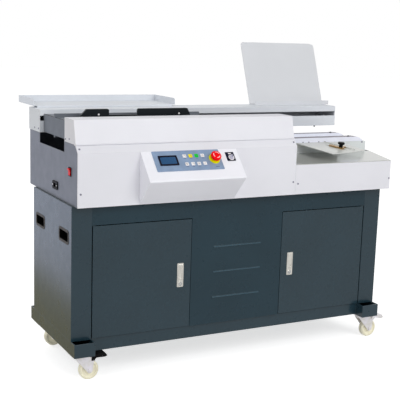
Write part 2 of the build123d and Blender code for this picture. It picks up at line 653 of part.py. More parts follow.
def make_console():
    """The white wedge, the keypad and its keys, the display, the stop button and the selector."""
    face = console_plane()
    top_z = BODY_TOP - CONSOLE_TOP_DROP
    pad_x = KEYPAD_X + KEYPAD_W / 2
    pad_y = -(KEYPAD_TOP + KEYPAD_H / 2)
    box_w = KEYPAD_W - 2 * KEYPAD_BOX_INSET
    box_h = KEYPAD_H - 2 * KEYPAD_BOX_INSET
    stop = (KEYPAD_X + ESTOP_X, -(KEYPAD_TOP + ESTOP_DOWN))
    selector = (SELECTOR_X, -SELECTOR_DOWN)
    display = (KEYPAD_X + DISPLAY_X + DISPLAY_W / 2, -(KEYPAD_TOP + DISPLAY_TOP + DISPLAY_H / 2))
    pad_top = face.offset(KEYPAD_T)
    with BuildPart() as housing:
        wedge = ((BODY_FRONT, DECK_Z + CONSOLE_FOOT), (BODY_FRONT - CONSOLE_DEPTH, top_z - CONSOLE_EDGE_DROP),
                 (BODY_FRONT, top_z))
        prism(side_plane(BODY_LEFT + CONSOLE_X), wedge, CONSOLE_W)
        nose = housing.edges().filter_by(Axis.X).sort_by(Axis.Y)[0]
        fillet(nose, CONSOLE_EDGE_R)
        back = housing.faces().sort_by(Axis.Y)[-1]
        offset(amount=-CONSOLE_WALL, openings=back, kind=Kind.INTERSECTION)
        tile(face, pad_x, pad_y, box_w + 2 * SLIDE_FIT, box_h + 2 * SLIDE_FIT, -2 * CONSOLE_WALL,
             mode=Mode.SUBTRACT)
        rod(Plane(face.from_local_coords(Vector(*selector, 0)), x_dir=face.x_dir, z_dir=face.z_dir),
            ESTOP_BARREL_R + SLIDE_FIT, -2 * CONSOLE_WALL, mode=Mode.SUBTRACT)
    save(housing.part, "console_housing")
    with BuildPart() as pad:
        tile(face, pad_x, pad_y, KEYPAD_W, KEYPAD_H, KEYPAD_T, corner=3)
        tile(face, pad_x, pad_y, box_w, box_h, -KEYPAD_BOX)
        for row, column, x, y in key_places():
            tile(pad_top, x, y, KEY_SIZE + 2 * KEY_FIT, KEY_SIZE + 2 * KEY_FIT,
                 -(KEY_DEPTH + KEY_TRAVEL + KEY_FIT), corner=1.5, mode=Mode.SUBTRACT)
        tile(pad_top, *display, DISPLAY_W - 4 + 2 * SLIDE_FIT, DISPLAY_H - 4 + 2 * SLIDE_FIT,
             -(KEYPAD_T + KEYPAD_BOX), mode=Mode.SUBTRACT)
        with BuildSketch(pad_top) as barrel_hole:
            with Locations(stop):
                Circle(ESTOP_BARREL_R + SLIDE_FIT)
        extrude(barrel_hole.sketch, amount=-(KEYPAD_T + KEYPAD_BOX), mode=Mode.SUBTRACT)
    save(pad.part, "keypad_plate")
    for row, column, x, y in key_places():
        with BuildPart() as key:
            tile(pad_top.offset(-KEY_DEPTH), x, y, KEY_SIZE, KEY_SIZE, KEY_DEPTH + KEY_PROUD, corner=1.5)
            crown = key.faces().sort_by(Axis(pad_top.origin, pad_top.z_dir))[-1]
            fillet(crown.edges(), 0.6)
        save(key.part, f"key_{'upper' if row == 0 else 'lower'}_{column + 1}")
    with BuildPart() as module:
        tile(pad_top, *display, DISPLAY_W, DISPLAY_H, DISPLAY_PROUD, corner=2)
        tile(pad_top, *display, DISPLAY_W - 4, DISPLAY_H - 4, -DISPLAY_BODY)
        tile(pad_top.offset(DISPLAY_PROUD), *display, DISPLAY_W - 2 * DISPLAY_FRAME,
             DISPLAY_H - 2 * DISPLAY_FRAME, -1.2, mode=Mode.SUBTRACT)
    save(module.part, "display_module")
    seat = Plane(pad_top.from_local_coords(Vector(*stop, 0)), x_dir=face.x_dir, z_dir=face.z_dir)
    with BuildPart() as collar:
        with BuildSketch(seat) as ring:
            Circle(ESTOP_COLLAR_R)
        extrude(ring.sketch, amount=ESTOP_COLLAR_T, taper=12)
        rod(seat, ESTOP_BARREL_R, -ESTOP_BARREL_L)
        rod(seat.offset(-ESTOP_BARREL_L / 2), ESTOP_STEM_R + RUN_FIT, ESTOP_BARREL_L, mode=Mode.SUBTRACT)
    save(collar.part, "estop_collar")
    with BuildPart() as head:
        rod(seat.offset(-ESTOP_BARREL_L / 2 + ESTOP_TRAVEL + SLIDE_FIT), ESTOP_STEM_R,
            ESTOP_BARREL_L / 2 - ESTOP_TRAVEL + ESTOP_COLLAR_T + ESTOP_GAP)
        rod(seat.offset(ESTOP_COLLAR_T + ESTOP_GAP), ESTOP_HEAD_R, ESTOP_HEAD_T)
        rim = head.edges().filter_by(GeomType.CIRCLE).sort_by(Axis(seat.origin, seat.z_dir))[-1]
        fillet(rim, 4.5)
    save(head.part, "estop_head")
    seat = Plane(face.from_local_coords(Vector(*selector, 0)), x_dir=face.x_dir, z_dir=face.z_dir)
    with BuildPart() as switch:
        tile(seat, 0, LEGEND_RISE, LEGEND_W, LEGEND_H, LEGEND_T, corner=2)
        rod(seat.offset(LEGEND_T), SELECTOR_RING_R, SELECTOR_RING_T)
        rod(seat, ESTOP_BARREL_R, -ESTOP_BARREL_L)
        floor = seat.offset(LEGEND_T + SELECTOR_FLOOR)
        rod(floor, SELECTOR_KNOB_R + SLIDE_FIT, SELECTOR_RING_T, mode=Mode.SUBTRACT)
        rod(floor, SELECTOR_STEM_R + RUN_FIT, -SELECTOR_STEM_L, mode=Mode.SUBTRACT)
    save(switch.part, "key_switch")
    with BuildPart() as knob:
        rod(seat.offset(LEGEND_T + SELECTOR_FLOOR + SLIDE_FIT), SELECTOR_KNOB_R, SELECTOR_RING_T)
        rod(seat.offset(LEGEND_T + SELECTOR_FLOOR + SLIDE_FIT), SELECTOR_STEM_R, -SELECTOR_STEM_L)
        tile(seat.offset(LEGEND_T + SELECTOR_RING_T), 0, 0, SELECTOR_GRIP_T, 2 * SELECTOR_KNOB_R - 2,
             SELECTOR_KNOB_T, corner=2)
    save(knob.part, "selector_knob")


def make_side_fittings():
    """The mains inlet and the power switch in the left wall."""
    wall = left_wall(INLET_Y, INLET_Z)
    with BuildPart() as inlet:
        tile(wall, 0, 0, INLET_W, INLET_H, INLET_T, corner=6)
        tile(wall, 0, 0, INLET_BODY_W, INLET_BODY_H, -INLET_BODY_L)
        tile(wall.offset(INLET_T), 0, 0, INLET_BODY_W - 4, INLET_BODY_H - 4,
             -(INLET_T + INLET_BODY_L - 6.5), mode=Mode.SUBTRACT)
        for across, up in ((0, 3.5), (-7, -2), (7, -2)):
            tile(wall.offset(-INLET_BODY_L + 2), across, up, 2, 4, 16)
    save(inlet.part, "mains_inlet")
    wall = left_wall(POWER_Y, POWER_Z)
    rocker_w = POWER_W - 2 * POWER_RIM
    rocker_h = POWER_H - 2 * POWER_RIM
    axle = (BODY_LEFT + 4, FRONT + POWER_Y, BASE_Z + POWER_Z)
    pivot = Plane(origin=axle, x_dir=(1, 0, 0), z_dir=(0, 1, 0))
    with BuildPart() as frame:
        tile(wall, 0, 0, POWER_W, POWER_H, 2.5, corner=2)
        tile(wall, 0, 0, POWER_W - POWER_RIM - 0.6, POWER_H - POWER_RIM - 0.6, -POWER_BODY_L)
        tile(wall.offset(2.5), 0, 0, rocker_w + 0.6, rocker_h + 1.5, -(POWER_BODY_L - 2), mode=Mode.SUBTRACT)
        rod(pivot.offset(-rocker_w / 2 - 1), 1.5, rocker_w + 2)
    save(frame.part, "power_switch_frame")
    with BuildPart() as rocker:
        h = rocker_h / 2 - 0.3
        x = BODY_LEFT
        z = BASE_Z + POWER_Z
        outline = ((x - 9, z + h), (x - 3.5, z - 1), (x - 4.5, z - h), (x + 6, z - h + 1), (x + 9, z),
                   (x + 6, z + h - 1))
        prism(front_plane(FRONT + POWER_Y + rocker_w / 2), outline, rocker_w)
        rod(pivot.offset(-POWER_W), 1.5 + RUN_FIT, 2 * POWER_W, mode=Mode.SUBTRACT)
    save(rocker.part, "power_rocker")


def make_front_cover():
    """The hinged cover: a leaning front, a top, a rear wall and two cheeks, open underneath."""
    axis_y, axis_z = hinge_axis()
    y0 = axis_y + 1.0
    z0 = BODY_TOP + COVER_GAP
    top = BODY_TOP + COVER_H
    rear = FRONT + COVER_REAR
    lean = COVER_LEAN
    with BuildPart() as cover:
        prism(side_plane(BODY_LEFT), ((y0, z0), (y0 + lean, top), (rear, top), (rear, z0)), MAIN_LENGTH)
        under = cover.faces().sort_by(Axis.Z)[0]
        offset(amount=-COVER_SHEET, openings=under, kind=Kind.INTERSECTION)
        for x0, x1 in knuckles(0):
            rod(Plane(origin=(x0, axis_y, axis_z), z_dir=(1, 0, 0)), HINGE_R, x1 - x0)
        for x0, x1 in knuckles(1):
            rod(Plane(origin=(x0 - HINGE_SLIT, axis_y, axis_z), z_dir=(1, 0, 0)), HINGE_R + 0.4,
                x1 - x0 + 2 * HINGE_SLIT, mode=Mode.SUBTRACT)
        rod(Plane(origin=(BODY_LEFT, axis_y, axis_z), z_dir=(1, 0, 0)), HINGE_PIN_R + RUN_FIT, MAIN_LENGTH,
            mode=Mode.SUBTRACT)
    save(cover.part, "front_cover")


def make_beam():
    """The rear casing with its long slot, its end plates and shaft blocks, and the two guide shafts."""
    x0, x1 = BODY_LEFT, BODY_LEFT + BEAM_LENGTH
    y0, y1 = BEAM_FRONT, BEAM_FRONT + BEAM_D
    z0, z1 = BODY_TOP, BEAM_TOP
    s = BEAM_SHEET
    slot0 = z0 + BEAM_SLOT_Z
    slot1 = slot0 + BEAM_SLOT_H
    shaft_z = z0 + SHAFT_Z
    with BuildPart() as beam:
        block(x0, x1, y0, y1, z0, z1)
        block(x0 + s, x1 - s, y0 + s, y1 - s, z0 + s, z1 - s, mode=Mode.SUBTRACT)
        block(x0, x1, y0, y0 + s, slot0, slot1, mode=Mode.SUBTRACT)
        for bx in (x0 + s, x1 - s - SHAFT_BLOCK_T):
            for y in SHAFT_YS:
                block(bx, bx + SHAFT_BLOCK_T, y - SHAFT_BLOCK_W / 2, y + SHAFT_BLOCK_W / 2, z0 + s,
                      shaft_z + SHAFT_BLOCK_W / 2)
        for y in SHAFT_YS:
            rod(Plane(origin=(x0 + s, y, shaft_z), z_dir=(1, 0, 0)), SHAFT_R + RUN_FIT, BEAM_LENGTH - 2 * s,
                mode=Mode.SUBTRACT)
    save(beam.part, "rail_beam")
    with BuildPart() as shafts:
        for y in SHAFT_YS:
            rod(Plane(origin=(x0 + s + SLIDE_FIT, y, shaft_z), z_dir=(1, 0, 0)), SHAFT_R,
                BEAM_LENGTH - 2 * s - 2 * SLIDE_FIT)
    save(shafts.part, "guide_shafts")


def make_carriage():
    """The book carriage: two end cheeks, the fixed rear jaw, the top sheet, and the slider on the shafts."""
    x0 = LEFT + CARRIAGE_X
    x1 = x0 + CARRIAGE_L
    low = BODY_TOP + CARRIAGE_GAP
    top = BODY_TOP + CARRIAGE_TOP
    jaw_low = BODY_TOP - JAW_BOTTOM
    jaw_top = BODY_TOP + JAW_RUN
    y_front = FRONT + COVER_REAR + 5
    y_rear = BEAM_FRONT - 4
    arm_z = BODY_TOP + BEAM_SLOT_Z + (BEAM_SLOT_H - ARM_T) / 2
    slider = (LEFT + SLIDER_X, LEFT + SLIDER_X + SLIDER_L)
    shaft_z = BODY_TOP + SHAFT_Z
    groove_z = (low + top) / 2
    with BuildPart() as carriage:
        for cx in (x0, x1 - CHEEK_T):
            block(cx, cx + CHEEK_T, y_front, y_rear, low, top)
        block(x0, x1, REGISTER, REGISTER + JAW_T, jaw_low, jaw_top)
        block(x0, x1, REGISTER, y_rear, top - CARRIAGE_SHEET, top)
        block(*slider, REGISTER + JAW_T, SHAFT_YS[1] + SHAFT_BLOCK_W / 2, arm_z, arm_z + ARM_T)
        block(*slider, SHAFT_YS[0] - SHAFT_BLOCK_W / 2, SHAFT_YS[1] + SHAFT_BLOCK_W / 2,
              shaft_z - SLIDER_H / 2, arm_z + ARM_T)
        for y in SHAFT_YS:
            rod(Plane(origin=(slider[0], y, shaft_z), z_dir=(1, 0, 0)), SHAFT_R + RUN_FIT, SLIDER_L,
                mode=Mode.SUBTRACT)
        for gx in (x0 + CHEEK_T - JAW_TONGUE_L, x1 - CHEEK_T):
            block(gx, gx + JAW_TONGUE_L, JAW_FACE - JAW_T - 2, REGISTER,
                  groove_z - JAW_TONGUE_H / 2 - SLIDE_FIT, groove_z + JAW_TONGUE_H / 2 + SLIDE_FIT,
                  mode=Mode.SUBTRACT)
    save(carriage.part, "carriage")
    tongue = (x0 + CHEEK_T - JAW_TONGUE_L + SLIDE_FIT, x1 - CHEEK_T + JAW_TONGUE_L - SLIDE_FIT)
    jaw_x = LEFT + JAW_X
    peak = BODY_TOP + JAW_PEAK
    outline = ((0, jaw_low), (0, jaw_top), (22, peak), (112, peak), (112, jaw_top), (230, jaw_top),
               (230, peak), (442, peak), (JAW_L, jaw_top), (JAW_L, jaw_low))
    with BuildPart() as jaw:
        with BuildSketch(front_plane(JAW_FACE)) as plate:
            with BuildLine():
                Polyline(*[(jaw_x + x, z) for x, z in outline], close=True)
            make_face()
            tops = plate.vertices().group_by(Axis.Y)[-1]
            fillet(tops, 7)
        extrude(plate.sketch, amount=JAW_T)
        block(*tongue, JAW_FACE - JAW_T, JAW_FACE, groove_z - JAW_TONGUE_H / 2, groove_z + JAW_TONGUE_H / 2)
    save(jaw.part, "clamp_jaw")


def make_cutter():
    """The milling motor on its foot, and the toothed cutter with the shaft that runs in the motor."""
    x, y = LEFT + CUTTER_X, (JAW_FACE + REGISTER) / 2
    motor_top = SPINE_Z - CUTTER_T - 2
    motor_low = motor_top - MOTOR_L
    with BuildPart() as motor:
        rod(Plane(origin=(x, y, motor_low), z_dir=(0, 0, 1)), MOTOR_R, MOTOR_L)
        top_rim = motor.edges().filter_by(GeomType.CIRCLE).sort_by(Axis.Z)[-1]
        chamfer(top_rim, 4)
        rod(Plane(origin=(x, y, DECK_TOP), z_dir=(0, 0, 1)), MOTOR_R - 10, motor_low - DECK_TOP)
        block(x - MOTOR_FOOT / 2, x + MOTOR_FOOT / 2, y - MOTOR_FOOT / 2, y + MOTOR_FOOT / 2, DECK_TOP,
              DECK_TOP + MOTOR_FOOT_T)
        rod(Plane(origin=(x, y, motor_low + 40), z_dir=(0, 0, 1)), CUTTER_SHAFT_R + RUN_FIT, MOTOR_L,
            mode=Mode.SUBTRACT)
    save(motor.part, "cutter_motor")
    with BuildPart() as cutter:
        disc = Plane(origin=(x, y, SPINE_Z - CUTTER_T), z_dir=(0, 0, 1))
        rod(disc, CUTTER_R, CUTTER_T)
        with BuildSketch(disc.offset(CUTTER_T)) as gullets:
            with PolarLocations(CUTTER_R, CUTTER_TEETH):
                Rectangle(14, 7)
        extrude(gullets.sketch, amount=-CUTTER_T + 3, mode=Mode.SUBTRACT)
        rod(Plane(origin=(x, y, SPINE_Z - 4), z_dir=(0, 0, 1)), CUTTER_R - 16, 4, mode=Mode.SUBTRACT)
        rod(Plane(origin=(x, y, motor_low + 40 + SLIDE_FIT), z_dir=(0, 0, 1)), CUTTER_SHAFT_R,
            SPINE_Z - CUTTER_T - motor_low - 40)
    save(cutter.part, "milling_cutter")


def make_glue_unit():
    """The glue tank on its two stands, and the roller that lifts glue to the spine."""
    x0 = LEFT + TANK_X
    y_mid = (JAW_FACE + REGISTER) / 2
    y0, y1 = y_mid - TANK_D / 2, y_mid + TANK_D / 2
    roller = (x0 + ROLLER_X, SPINE_Z - ROLLER_R)
    rim_z = SPINE_Z - 12
    low = rim_z - TANK_H
    with BuildPart() as tank:
        block(x0, x0 + TANK_L, y0, y1, low, rim_z)
        block(x0 + TANK_WALL, x0 + TANK_L - TANK_WALL, y0 + TANK_WALL, y1 - TANK_WALL, low + TANK_WALL,
              rim_z, mode=Mode.SUBTRACT)
        for y in (y0, y1 - TANK_WALL):
            block(x0 + 20, x0 + TANK_L - 20, y, y + TANK_WALL, DECK_TOP, low)
        rod(Plane(origin=(roller[0], y0, roller[1]), x_dir=(1, 0, 0), z_dir=(0, 1, 0)),
            ROLLER_SHAFT_R + RUN_FIT, TANK_D, mode=Mode.SUBTRACT)
    save(tank.part, "glue_tank")
    with BuildPart() as drum:
        rod(Plane(origin=(roller[0], y0 - 4, roller[1]), x_dir=(1, 0, 0), z_dir=(0, 1, 0)), ROLLER_SHAFT_R,
            TANK_D + 8)
        inside = y0 + TANK_WALL + ROLLER_END_GAP
        rod(Plane(origin=(roller[0], inside, roller[1]), x_dir=(1, 0, 0), z_dir=(0, 1, 0)), ROLLER_R,
            TANK_D - 2 * TANK_WALL - 2 * ROLLER_END_GAP)
    save(drum.part, "glue_roller")


def nipper_outline(x0, low, height, fall_start, fall_end, end_height):
    """A nipping rail seen from the front: level, then curved down at its right end."""
    top = low + height
    with BuildLine() as line:
        Line((x0, low), (x0, top))
        Line((x0, top), (fall_start, top))
        ThreePointArc((fall_start, top), (fall_start + 0.62 * (fall_end - fall_start), low + end_height
                      + 0.72 * (height - end_height)), (fall_end, low + end_height))
        Line((fall_end, low + end_height), (fall_end, low))
        Line((fall_end, low), (x0, low))
    return line.line


def make_nipper():
    """The nipping bed with its fixed rear rail, and the front rail that slides on the bed."""
    x0 = LEFT + NIP_X
    x1 = x0 + NIP_L
    y0 = FRONT + NIP_FRONT
    y1 = y0 + NIP_DEPTH
    bed = SPINE_Z - 1.0
    with BuildPart() as body:
        block(x0, x1, y0, y1, DECK_TOP, bed)
        block(x0 + NIP_WALL, x1 - NIP_WALL, y0 + NIP_WALL, y1 - NIP_WALL, DECK_TOP,
              bed - NIP_TOP_T, mode=Mode.SUBTRACT)
        with BuildSketch(front_plane(REGISTER)) as rail:
            make_face(nipper_outline(x0, bed, NIPPER_REAR_H, x1 - 54, x1 - 14, NIPPER_REAR_H - 12))
        extrude(rail.sketch, amount=REGISTER - y1)
        for kx in NIPPER_KEYS:
            block(x0 + kx - NIPPER_KEY_W / 2, x0 + kx + NIPPER_KEY_W / 2, y0, REGISTER,
                  bed - NIPPER_KEY_H, bed, mode=Mode.SUBTRACT)
    save(body.part, "nip_bed")
    with BuildPart() as front:
        with BuildSketch(front_plane(y0)) as rail:
            make_face(nipper_outline(x0, bed + SLIDE_FIT, NIPPER_H, x1 - 61, x1 - 16, 4))
        extrude(rail.sketch, amount=-NIPPER_DEPTH)
        for kx in NIPPER_KEYS:
            block(x0 + kx - NIPPER_KEY_W / 2 + SLIDE_FIT, x0 + kx + NIPPER_KEY_W / 2 - SLIDE_FIT,
                  y0, y0 + NIPPER_DEPTH - 4, bed - NIPPER_KEY_H + SLIDE_FIT, bed + 1)
    save(front.part, "nipper_front")


def table_plane(lift):
    """A plane some way above the sloping table: own x along the machine, own y up the slope."""
    run = NIP_FRONT + BODY_PROUD
    slope = atan2(TABLE_RISE, run)
    origin = (LEFT, BODY_FRONT, DECK_Z + TABLE_FRONT_H)
    return Plane(origin=origin, x_dir=(1, 0, 0), z_dir=(0, -sin(slope), cos(slope))).offset(lift)


def table_under(y):
    """Height of the table sheet's underside at one depth."""
    run = NIP_FRONT + BODY_PROUD
    rise = (y - BODY_FRONT) * TABLE_RISE / run
    return DECK_Z + TABLE_FRONT_H + rise - TABLE_SHEET * hypot(TABLE_RISE, run) / run


def on_table(place, lift):
    """A place given from the cabinet's front left corner, in a plane that far above the table."""
    slope = atan2(TABLE_RISE, NIP_FRONT + BODY_PROUD)
    return place[0], (place[1] + BODY_PROUD + lift * sin(slope)) / cos(slope)


def stop_plane():
    """A plane on the stop plate at the knob: own x along the slot to the front, own y to the right."""
    plane = table_plane(STOP_LIFT + STOP_T)
    x, y = on_table(KNOB_PLACE, STOP_LIFT + STOP_T)
    turn = radians(SLOT_TURN)
    origin = plane.from_local_coords(Vector(x, y, 0))
    along = plane.from_local_coords(Vector(x + sin(turn), y - cos(turn), 0)) - origin
    return Plane(origin=origin, x_dir=along, z_dir=plane.z_dir)


def make_table():
    """The sloping table, and the stop plate over it with its slot and guide rail."""
    length = hypot(TABLE_RISE, NIP_FRONT + BODY_PROUD) - TABLE_SHEET / 4
    x0 = MAIN_RIGHT - LEFT + HINGE_SLIT
    x1 = BODY_RIGHT - LEFT
    with BuildPart() as table:
        tile(table_plane(0), (x0 + x1) / 2, length / 2, x1 - x0, length, -TABLE_SHEET)
    save(table.part, "table_top")
    left, right = STOP_CORNERS[0][0], STOP_CORNERS[3][0]
    rear_z = DECK_Z + TABLE_FRONT_H + TABLE_RISE + STOP_LIFT
    own = stop_plane()
    with BuildPart() as plate:
        prism(table_plane(STOP_LIFT), [on_table(c, STOP_LIFT) for c in STOP_CORNERS], STOP_T)
        block(LEFT + left, LEFT + right, FRONT + NIP_FRONT - STOP_FLANGE_T, FRONT + NIP_FRONT,
              rear_z - STOP_FLANGE, rear_z + STOP_T / 2)
        tile(own, (SLOT_BACK + SLOT_AHEAD) / 2, 0, SLOT_AHEAD - SLOT_BACK, 2 * SLOT_R, -2 * STOP_T,
             corner=SLOT_R - 0.01, mode=Mode.SUBTRACT)
        tile(own.offset(-STOP_T / 2), (RAIL_BACK + RAIL_AHEAD) / 2, RAIL_SIDE + RAIL_W / 2,
             RAIL_AHEAD - RAIL_BACK, RAIL_W, RAIL_H + STOP_T / 2)
    save(plate.part, "stop_plate")
    under = -STOP_T - SLIDE_FIT
    with BuildPart() as slider:
        tile(own.offset(SLIDE_FIT), BASE_L / 2 - TONGUE_L / 2, 0, TONGUE_L, TONGUE_W, BASE_T, corner=2)
        tile(own.offset(SLIDE_FIT), 0, (RAIL_SIDE - SLIDE_FIT) / 2, GUIDE_L, RAIL_SIDE - SLIDE_FIT, BASE_T)
        rod(own.offset(under - BASE_T), SLOT_R - SLIDE_FIT, BASE_T - under + 1)
        rod(own, KNOB_SCREW_R, BASE_T + KNOB_NECK_T)
        tile(own.offset(under), 0, 0, BASE_L, 2 * BASE_REACH, -BASE_T, corner=2)
    save(slider.part, "stop_slider")
    seat = own.offset(BASE_T + 2 * SLIDE_FIT)
    with BuildPart() as knob:
        rod(seat, KNOB_NECK_R, KNOB_NECK_T)
        rod(seat.offset(KNOB_NECK_T), KNOB_R, KNOB_CAP_T)
        rims = knob.edges().filter_by(GeomType.CIRCLE).sort_by(Axis(seat.origin, seat.z_dir))
        fillet([e for e in rims if e.radius > KNOB_NECK_R + 1], 3)
        rod(seat, KNOB_SCREW_R + RUN_FIT, KNOB_NECK_T, mode=Mode.SUBTRACT)
    save(knob.part, "stop_knob")


def make_tray():
    """The book tray on the beam: a floor with rims left, behind and right, open in front, on two legs."""
    x0, y0 = LEFT + TRAY_X, FRONT + TRAY_Y
    x1, y1 = x0 + TRAY_L, y0 + TRAY_D
    s = TRAY_SHEET
    floor = BEAM_TOP + TRAY_LEG
    with BuildPart() as tray:
        block(x0, x1, y0, y1, floor, floor + s)
        for x in (x0, x1 - s):
            block(x, x + s, y0, y1, floor, floor + s + TRAY_RIM)
        front_tops = tray.edges().filter_by(Axis.X).group_by(Axis.Z)[-1].group_by(Axis.Y)[0]
        fillet(front_tops, TRAY_CORNER)
        block(x0, x1, y1 - s, y1, floor, floor + s + TRAY_RIM)
        for y in (y0, BEAM_FRONT + BEAM_D - TRAY_CORNER):
            block(x0 + TRAY_CORNER, x1 - TRAY_CORNER, y, y + s, BEAM_TOP, floor)
    save(tray.part, "book_tray")


def make_lectern():
    """The copy holder: one sheet bent into a lip, a shelf on the beam, and a board that leans back."""
    x0, y0 = LEFT + LECTERN_X, FRONT + LECTERN_Y
    s = LECTERN_SHEET
    w, length = LECTERN_W, LECTERN_LENGTH
    lean = radians(LECTERN_LEAN)
    foot = (x0, y0 + LECTERN_SHELF - s, BEAM_TOP)
    board = Plane(origin=foot, x_dir=(1, 0, 0), z_dir=(0, -cos(lean), sin(lean)))
    with BuildPart() as lectern:
        block(x0, x0 + w, y0, y0 + s, BEAM_TOP, BEAM_TOP + LECTERN_LIP)
        block(x0, x0 + w, y0, y0 + LECTERN_SHELF, BEAM_TOP, BEAM_TOP + s)
        r = LECTERN_CORNER
        outline = [(0, s / 2), (0, length - r), (r * 0.3, length - r * 0.3), (r, length),
                   (w - LECTERN_CUT_W, length), (w - r * 0.3, length - LECTERN_CUT_H),
                   (w, length - LECTERN_CUT_H - r), (w, s / 2)]
        prism(board, outline, -s)
    save(lectern.part, "lectern")


def caster_places():
    """Names and swivel axes of the four casters."""
    for end, x in (("left", LEFT + SKID_W / 2), ("right", RIGHT - SKID_W / 2)):
        yield f"front_{end}", x, FRONT + CASTER_Y
        yield f"rear_{end}", x, BACK - CASTER_Y


def make_casters():
    """Plates with bearing races and kingpins, forks with axles, wheels, and the front pair's brake pedals."""
    race_z = CASTER_H - CASTER_PLATE_T - RACE_T
    crown_top = race_z - SLIDE_FIT
    crown_low = crown_top - FORK_TOP_T
    inner = WHEEL_W / 2 + FORK_SIDE_GAP
    outer = inner + FORK_SHEET
    with BuildPart() as plates:
        for name, x, y in caster_places():
            top = Plane(origin=(x, y, CASTER_H), x_dir=(1, 0, 0), z_dir=(0, 0, 1))
            under = top.offset(-CASTER_PLATE_T)
            tile(top, 0, 0, CASTER_PLATE, CASTER_PLATE, -CASTER_PLATE_T, corner=5)
            rod(under, RACE_R, -RACE_T)
            rod(under, KINGPIN_R, -(RACE_T + FORK_TOP_T + 2 * SLIDE_FIT))
            rod(Plane(origin=(x, y, crown_low - SLIDE_FIT), z_dir=(0, 0, 1)), KINGPIN_R + 3, -KINGPIN_NUT_T)
            for bx in (-CASTER_BOLT_PITCH / 2, CASTER_BOLT_PITCH / 2):
                for by in (-CASTER_BOLT_PITCH / 2, CASTER_BOLT_PITCH / 2):
                    bolt = Plane(origin=(x + bx, y + by, CASTER_H - CASTER_PLATE_T), z_dir=(0, 0, -1))
                    rod(bolt, CASTER_BOLT_R, CASTER_BOLT_T)
    save(plates.part, "caster_plates")
    for name, x, y in caster_places():
        axle = (x + CASTER_TRAIL, WHEEL_R)
        pedal = (x + PEDAL_X, PEDAL_Z)
        with BuildPart() as fork:
            with BuildSketch(front_plane(y + outer)) as leg:
                with Locations(axle):
                    Circle(AXLE_NUT_R + 4)
                with Locations((x, (crown_low + crown_top) / 2)):
                    Rectangle(2 * RACE_R - 6, FORK_TOP_T)
                with Locations(pedal):
                    Circle(PEDAL_PIN_R + 3)
                make_hull()
            extrude(leg.sketch, amount=2 * outer)
            block(x - 2 * RACE_R, x + 4 * RACE_R, y - inner, y + inner, 0, crown_low, mode=Mode.SUBTRACT)
            block(x + RACE_R, x + 4 * RACE_R, y - inner, y + inner, crown_low, crown_top, mode=Mode.SUBTRACT)
            rod(Plane(origin=(x, y, crown_low), z_dir=(0, 0, 1)), RACE_R, FORK_TOP_T)
            rod(Plane(origin=(x, y, crown_low), z_dir=(0, 0, 1)), KINGPIN_R + RUN_FIT, FORK_TOP_T,
                mode=Mode.SUBTRACT)
            rod(Plane(origin=(axle[0], y - outer - AXLE_NUT_T, WHEEL_R), z_dir=(0, 1, 0)), AXLE_R,
                2 * (outer + AXLE_NUT_T))
            for side in (-1, 1):
                nut = Plane(origin=(axle[0], y + side * outer, WHEEL_R), x_dir=(1, 0, 0), z_dir=(0, side, 0))
                with BuildSketch(nut) as hexagon:
                    RegularPolygon(AXLE_NUT_R, 6)
                extrude(hexagon.sketch, amount=AXLE_NUT_T)
            rod(Plane(origin=(pedal[0], y - outer, pedal[1]), z_dir=(0, 1, 0)), PEDAL_PIN_R + RUN_FIT,
                2 * outer, mode=Mode.SUBTRACT)
        save(fork.part, f"caster_fork_{name}")
        hub = inner - 0.5
        edge = WHEEL_W / 2
        half = [(hub, AXLE_R + RUN_FIT), (hub, 13), (edge - 4, 15), (edge - 4, 27), (edge, 29),
                (edge, WHEEL_R - WHEEL_CROWN), (edge - WHEEL_CROWN, WHEEL_R)]
        turned = Plane(origin=(axle[0], y, WHEEL_R), x_dir=(0, 1, 0), z_dir=(-1, 0, 0))
        with BuildPart() as wheel:
            with BuildSketch(turned) as section:
                with BuildLine():
                    Polyline(*half, *[(-a, r) for a, r in reversed(half)], close=True)
                make_face()
            revolve(section.sketch, axis=Axis((axle[0], y, WHEEL_R), (0, 1, 0)))
        save(wheel.part, f"caster_wheel_{name}")
        if name.startswith("front"):
            make_pedal(name, pedal, y, outer)


def make_pedal(name, pedal, y, outer):
    """A brake pedal: a long tread, two cheeks outside the fork and a shoe. The left one stands raised."""
    x, z = pedal
    tip = x + PEDAL_L
    half = outer + SLIDE_FIT + PEDAL_CHEEK_T
    with BuildPart() as lever:
        tread = ((x + 4.5, z + 13), (x + 4.5, z + 16.5), (tip - 7, z + 13), (tip, z + 0.8),
                 (tip - 3, z - 0.5), (tip - 8.5, z + 10), (x + 9, z + 13))
        prism(front_plane(y + half), tread, 2 * half)
        for side in (-half, half - PEDAL_CHEEK_T):
            cheek = ((x - 5, z - 5), (x - 5, z + 3), (x + 3, z + 15.5), (tip - 7.5, z + 12),
                     (tip - 1, z + 0.6), (tip - 9, z - 2.5), (x + 14, z + 3), (x + 5, z - 5))
            prism(front_plane(y - side), cheek, PEDAL_CHEEK_T)
        rod(Plane(origin=(x, y - half, z), z_dir=(0, 1, 0)), PEDAL_PIN_R, 2 * half)
        shoe = ((x + 3, z - 7.2), (x + 3, z + 14), (x + 11, z + 14), (x + 11, z - 11.5))
        prism(front_plane(y + WHEEL_W / 2 - 2), shoe, WHEEL_W - 4)
    side = name.split("_")[1]
    lift = PEDAL_LIFT if side == "left" else 0.0
    save(lever.part.rotate(Axis((x, y, z), (0, -1, 0)), lift), f"brake_pedal_{side}")


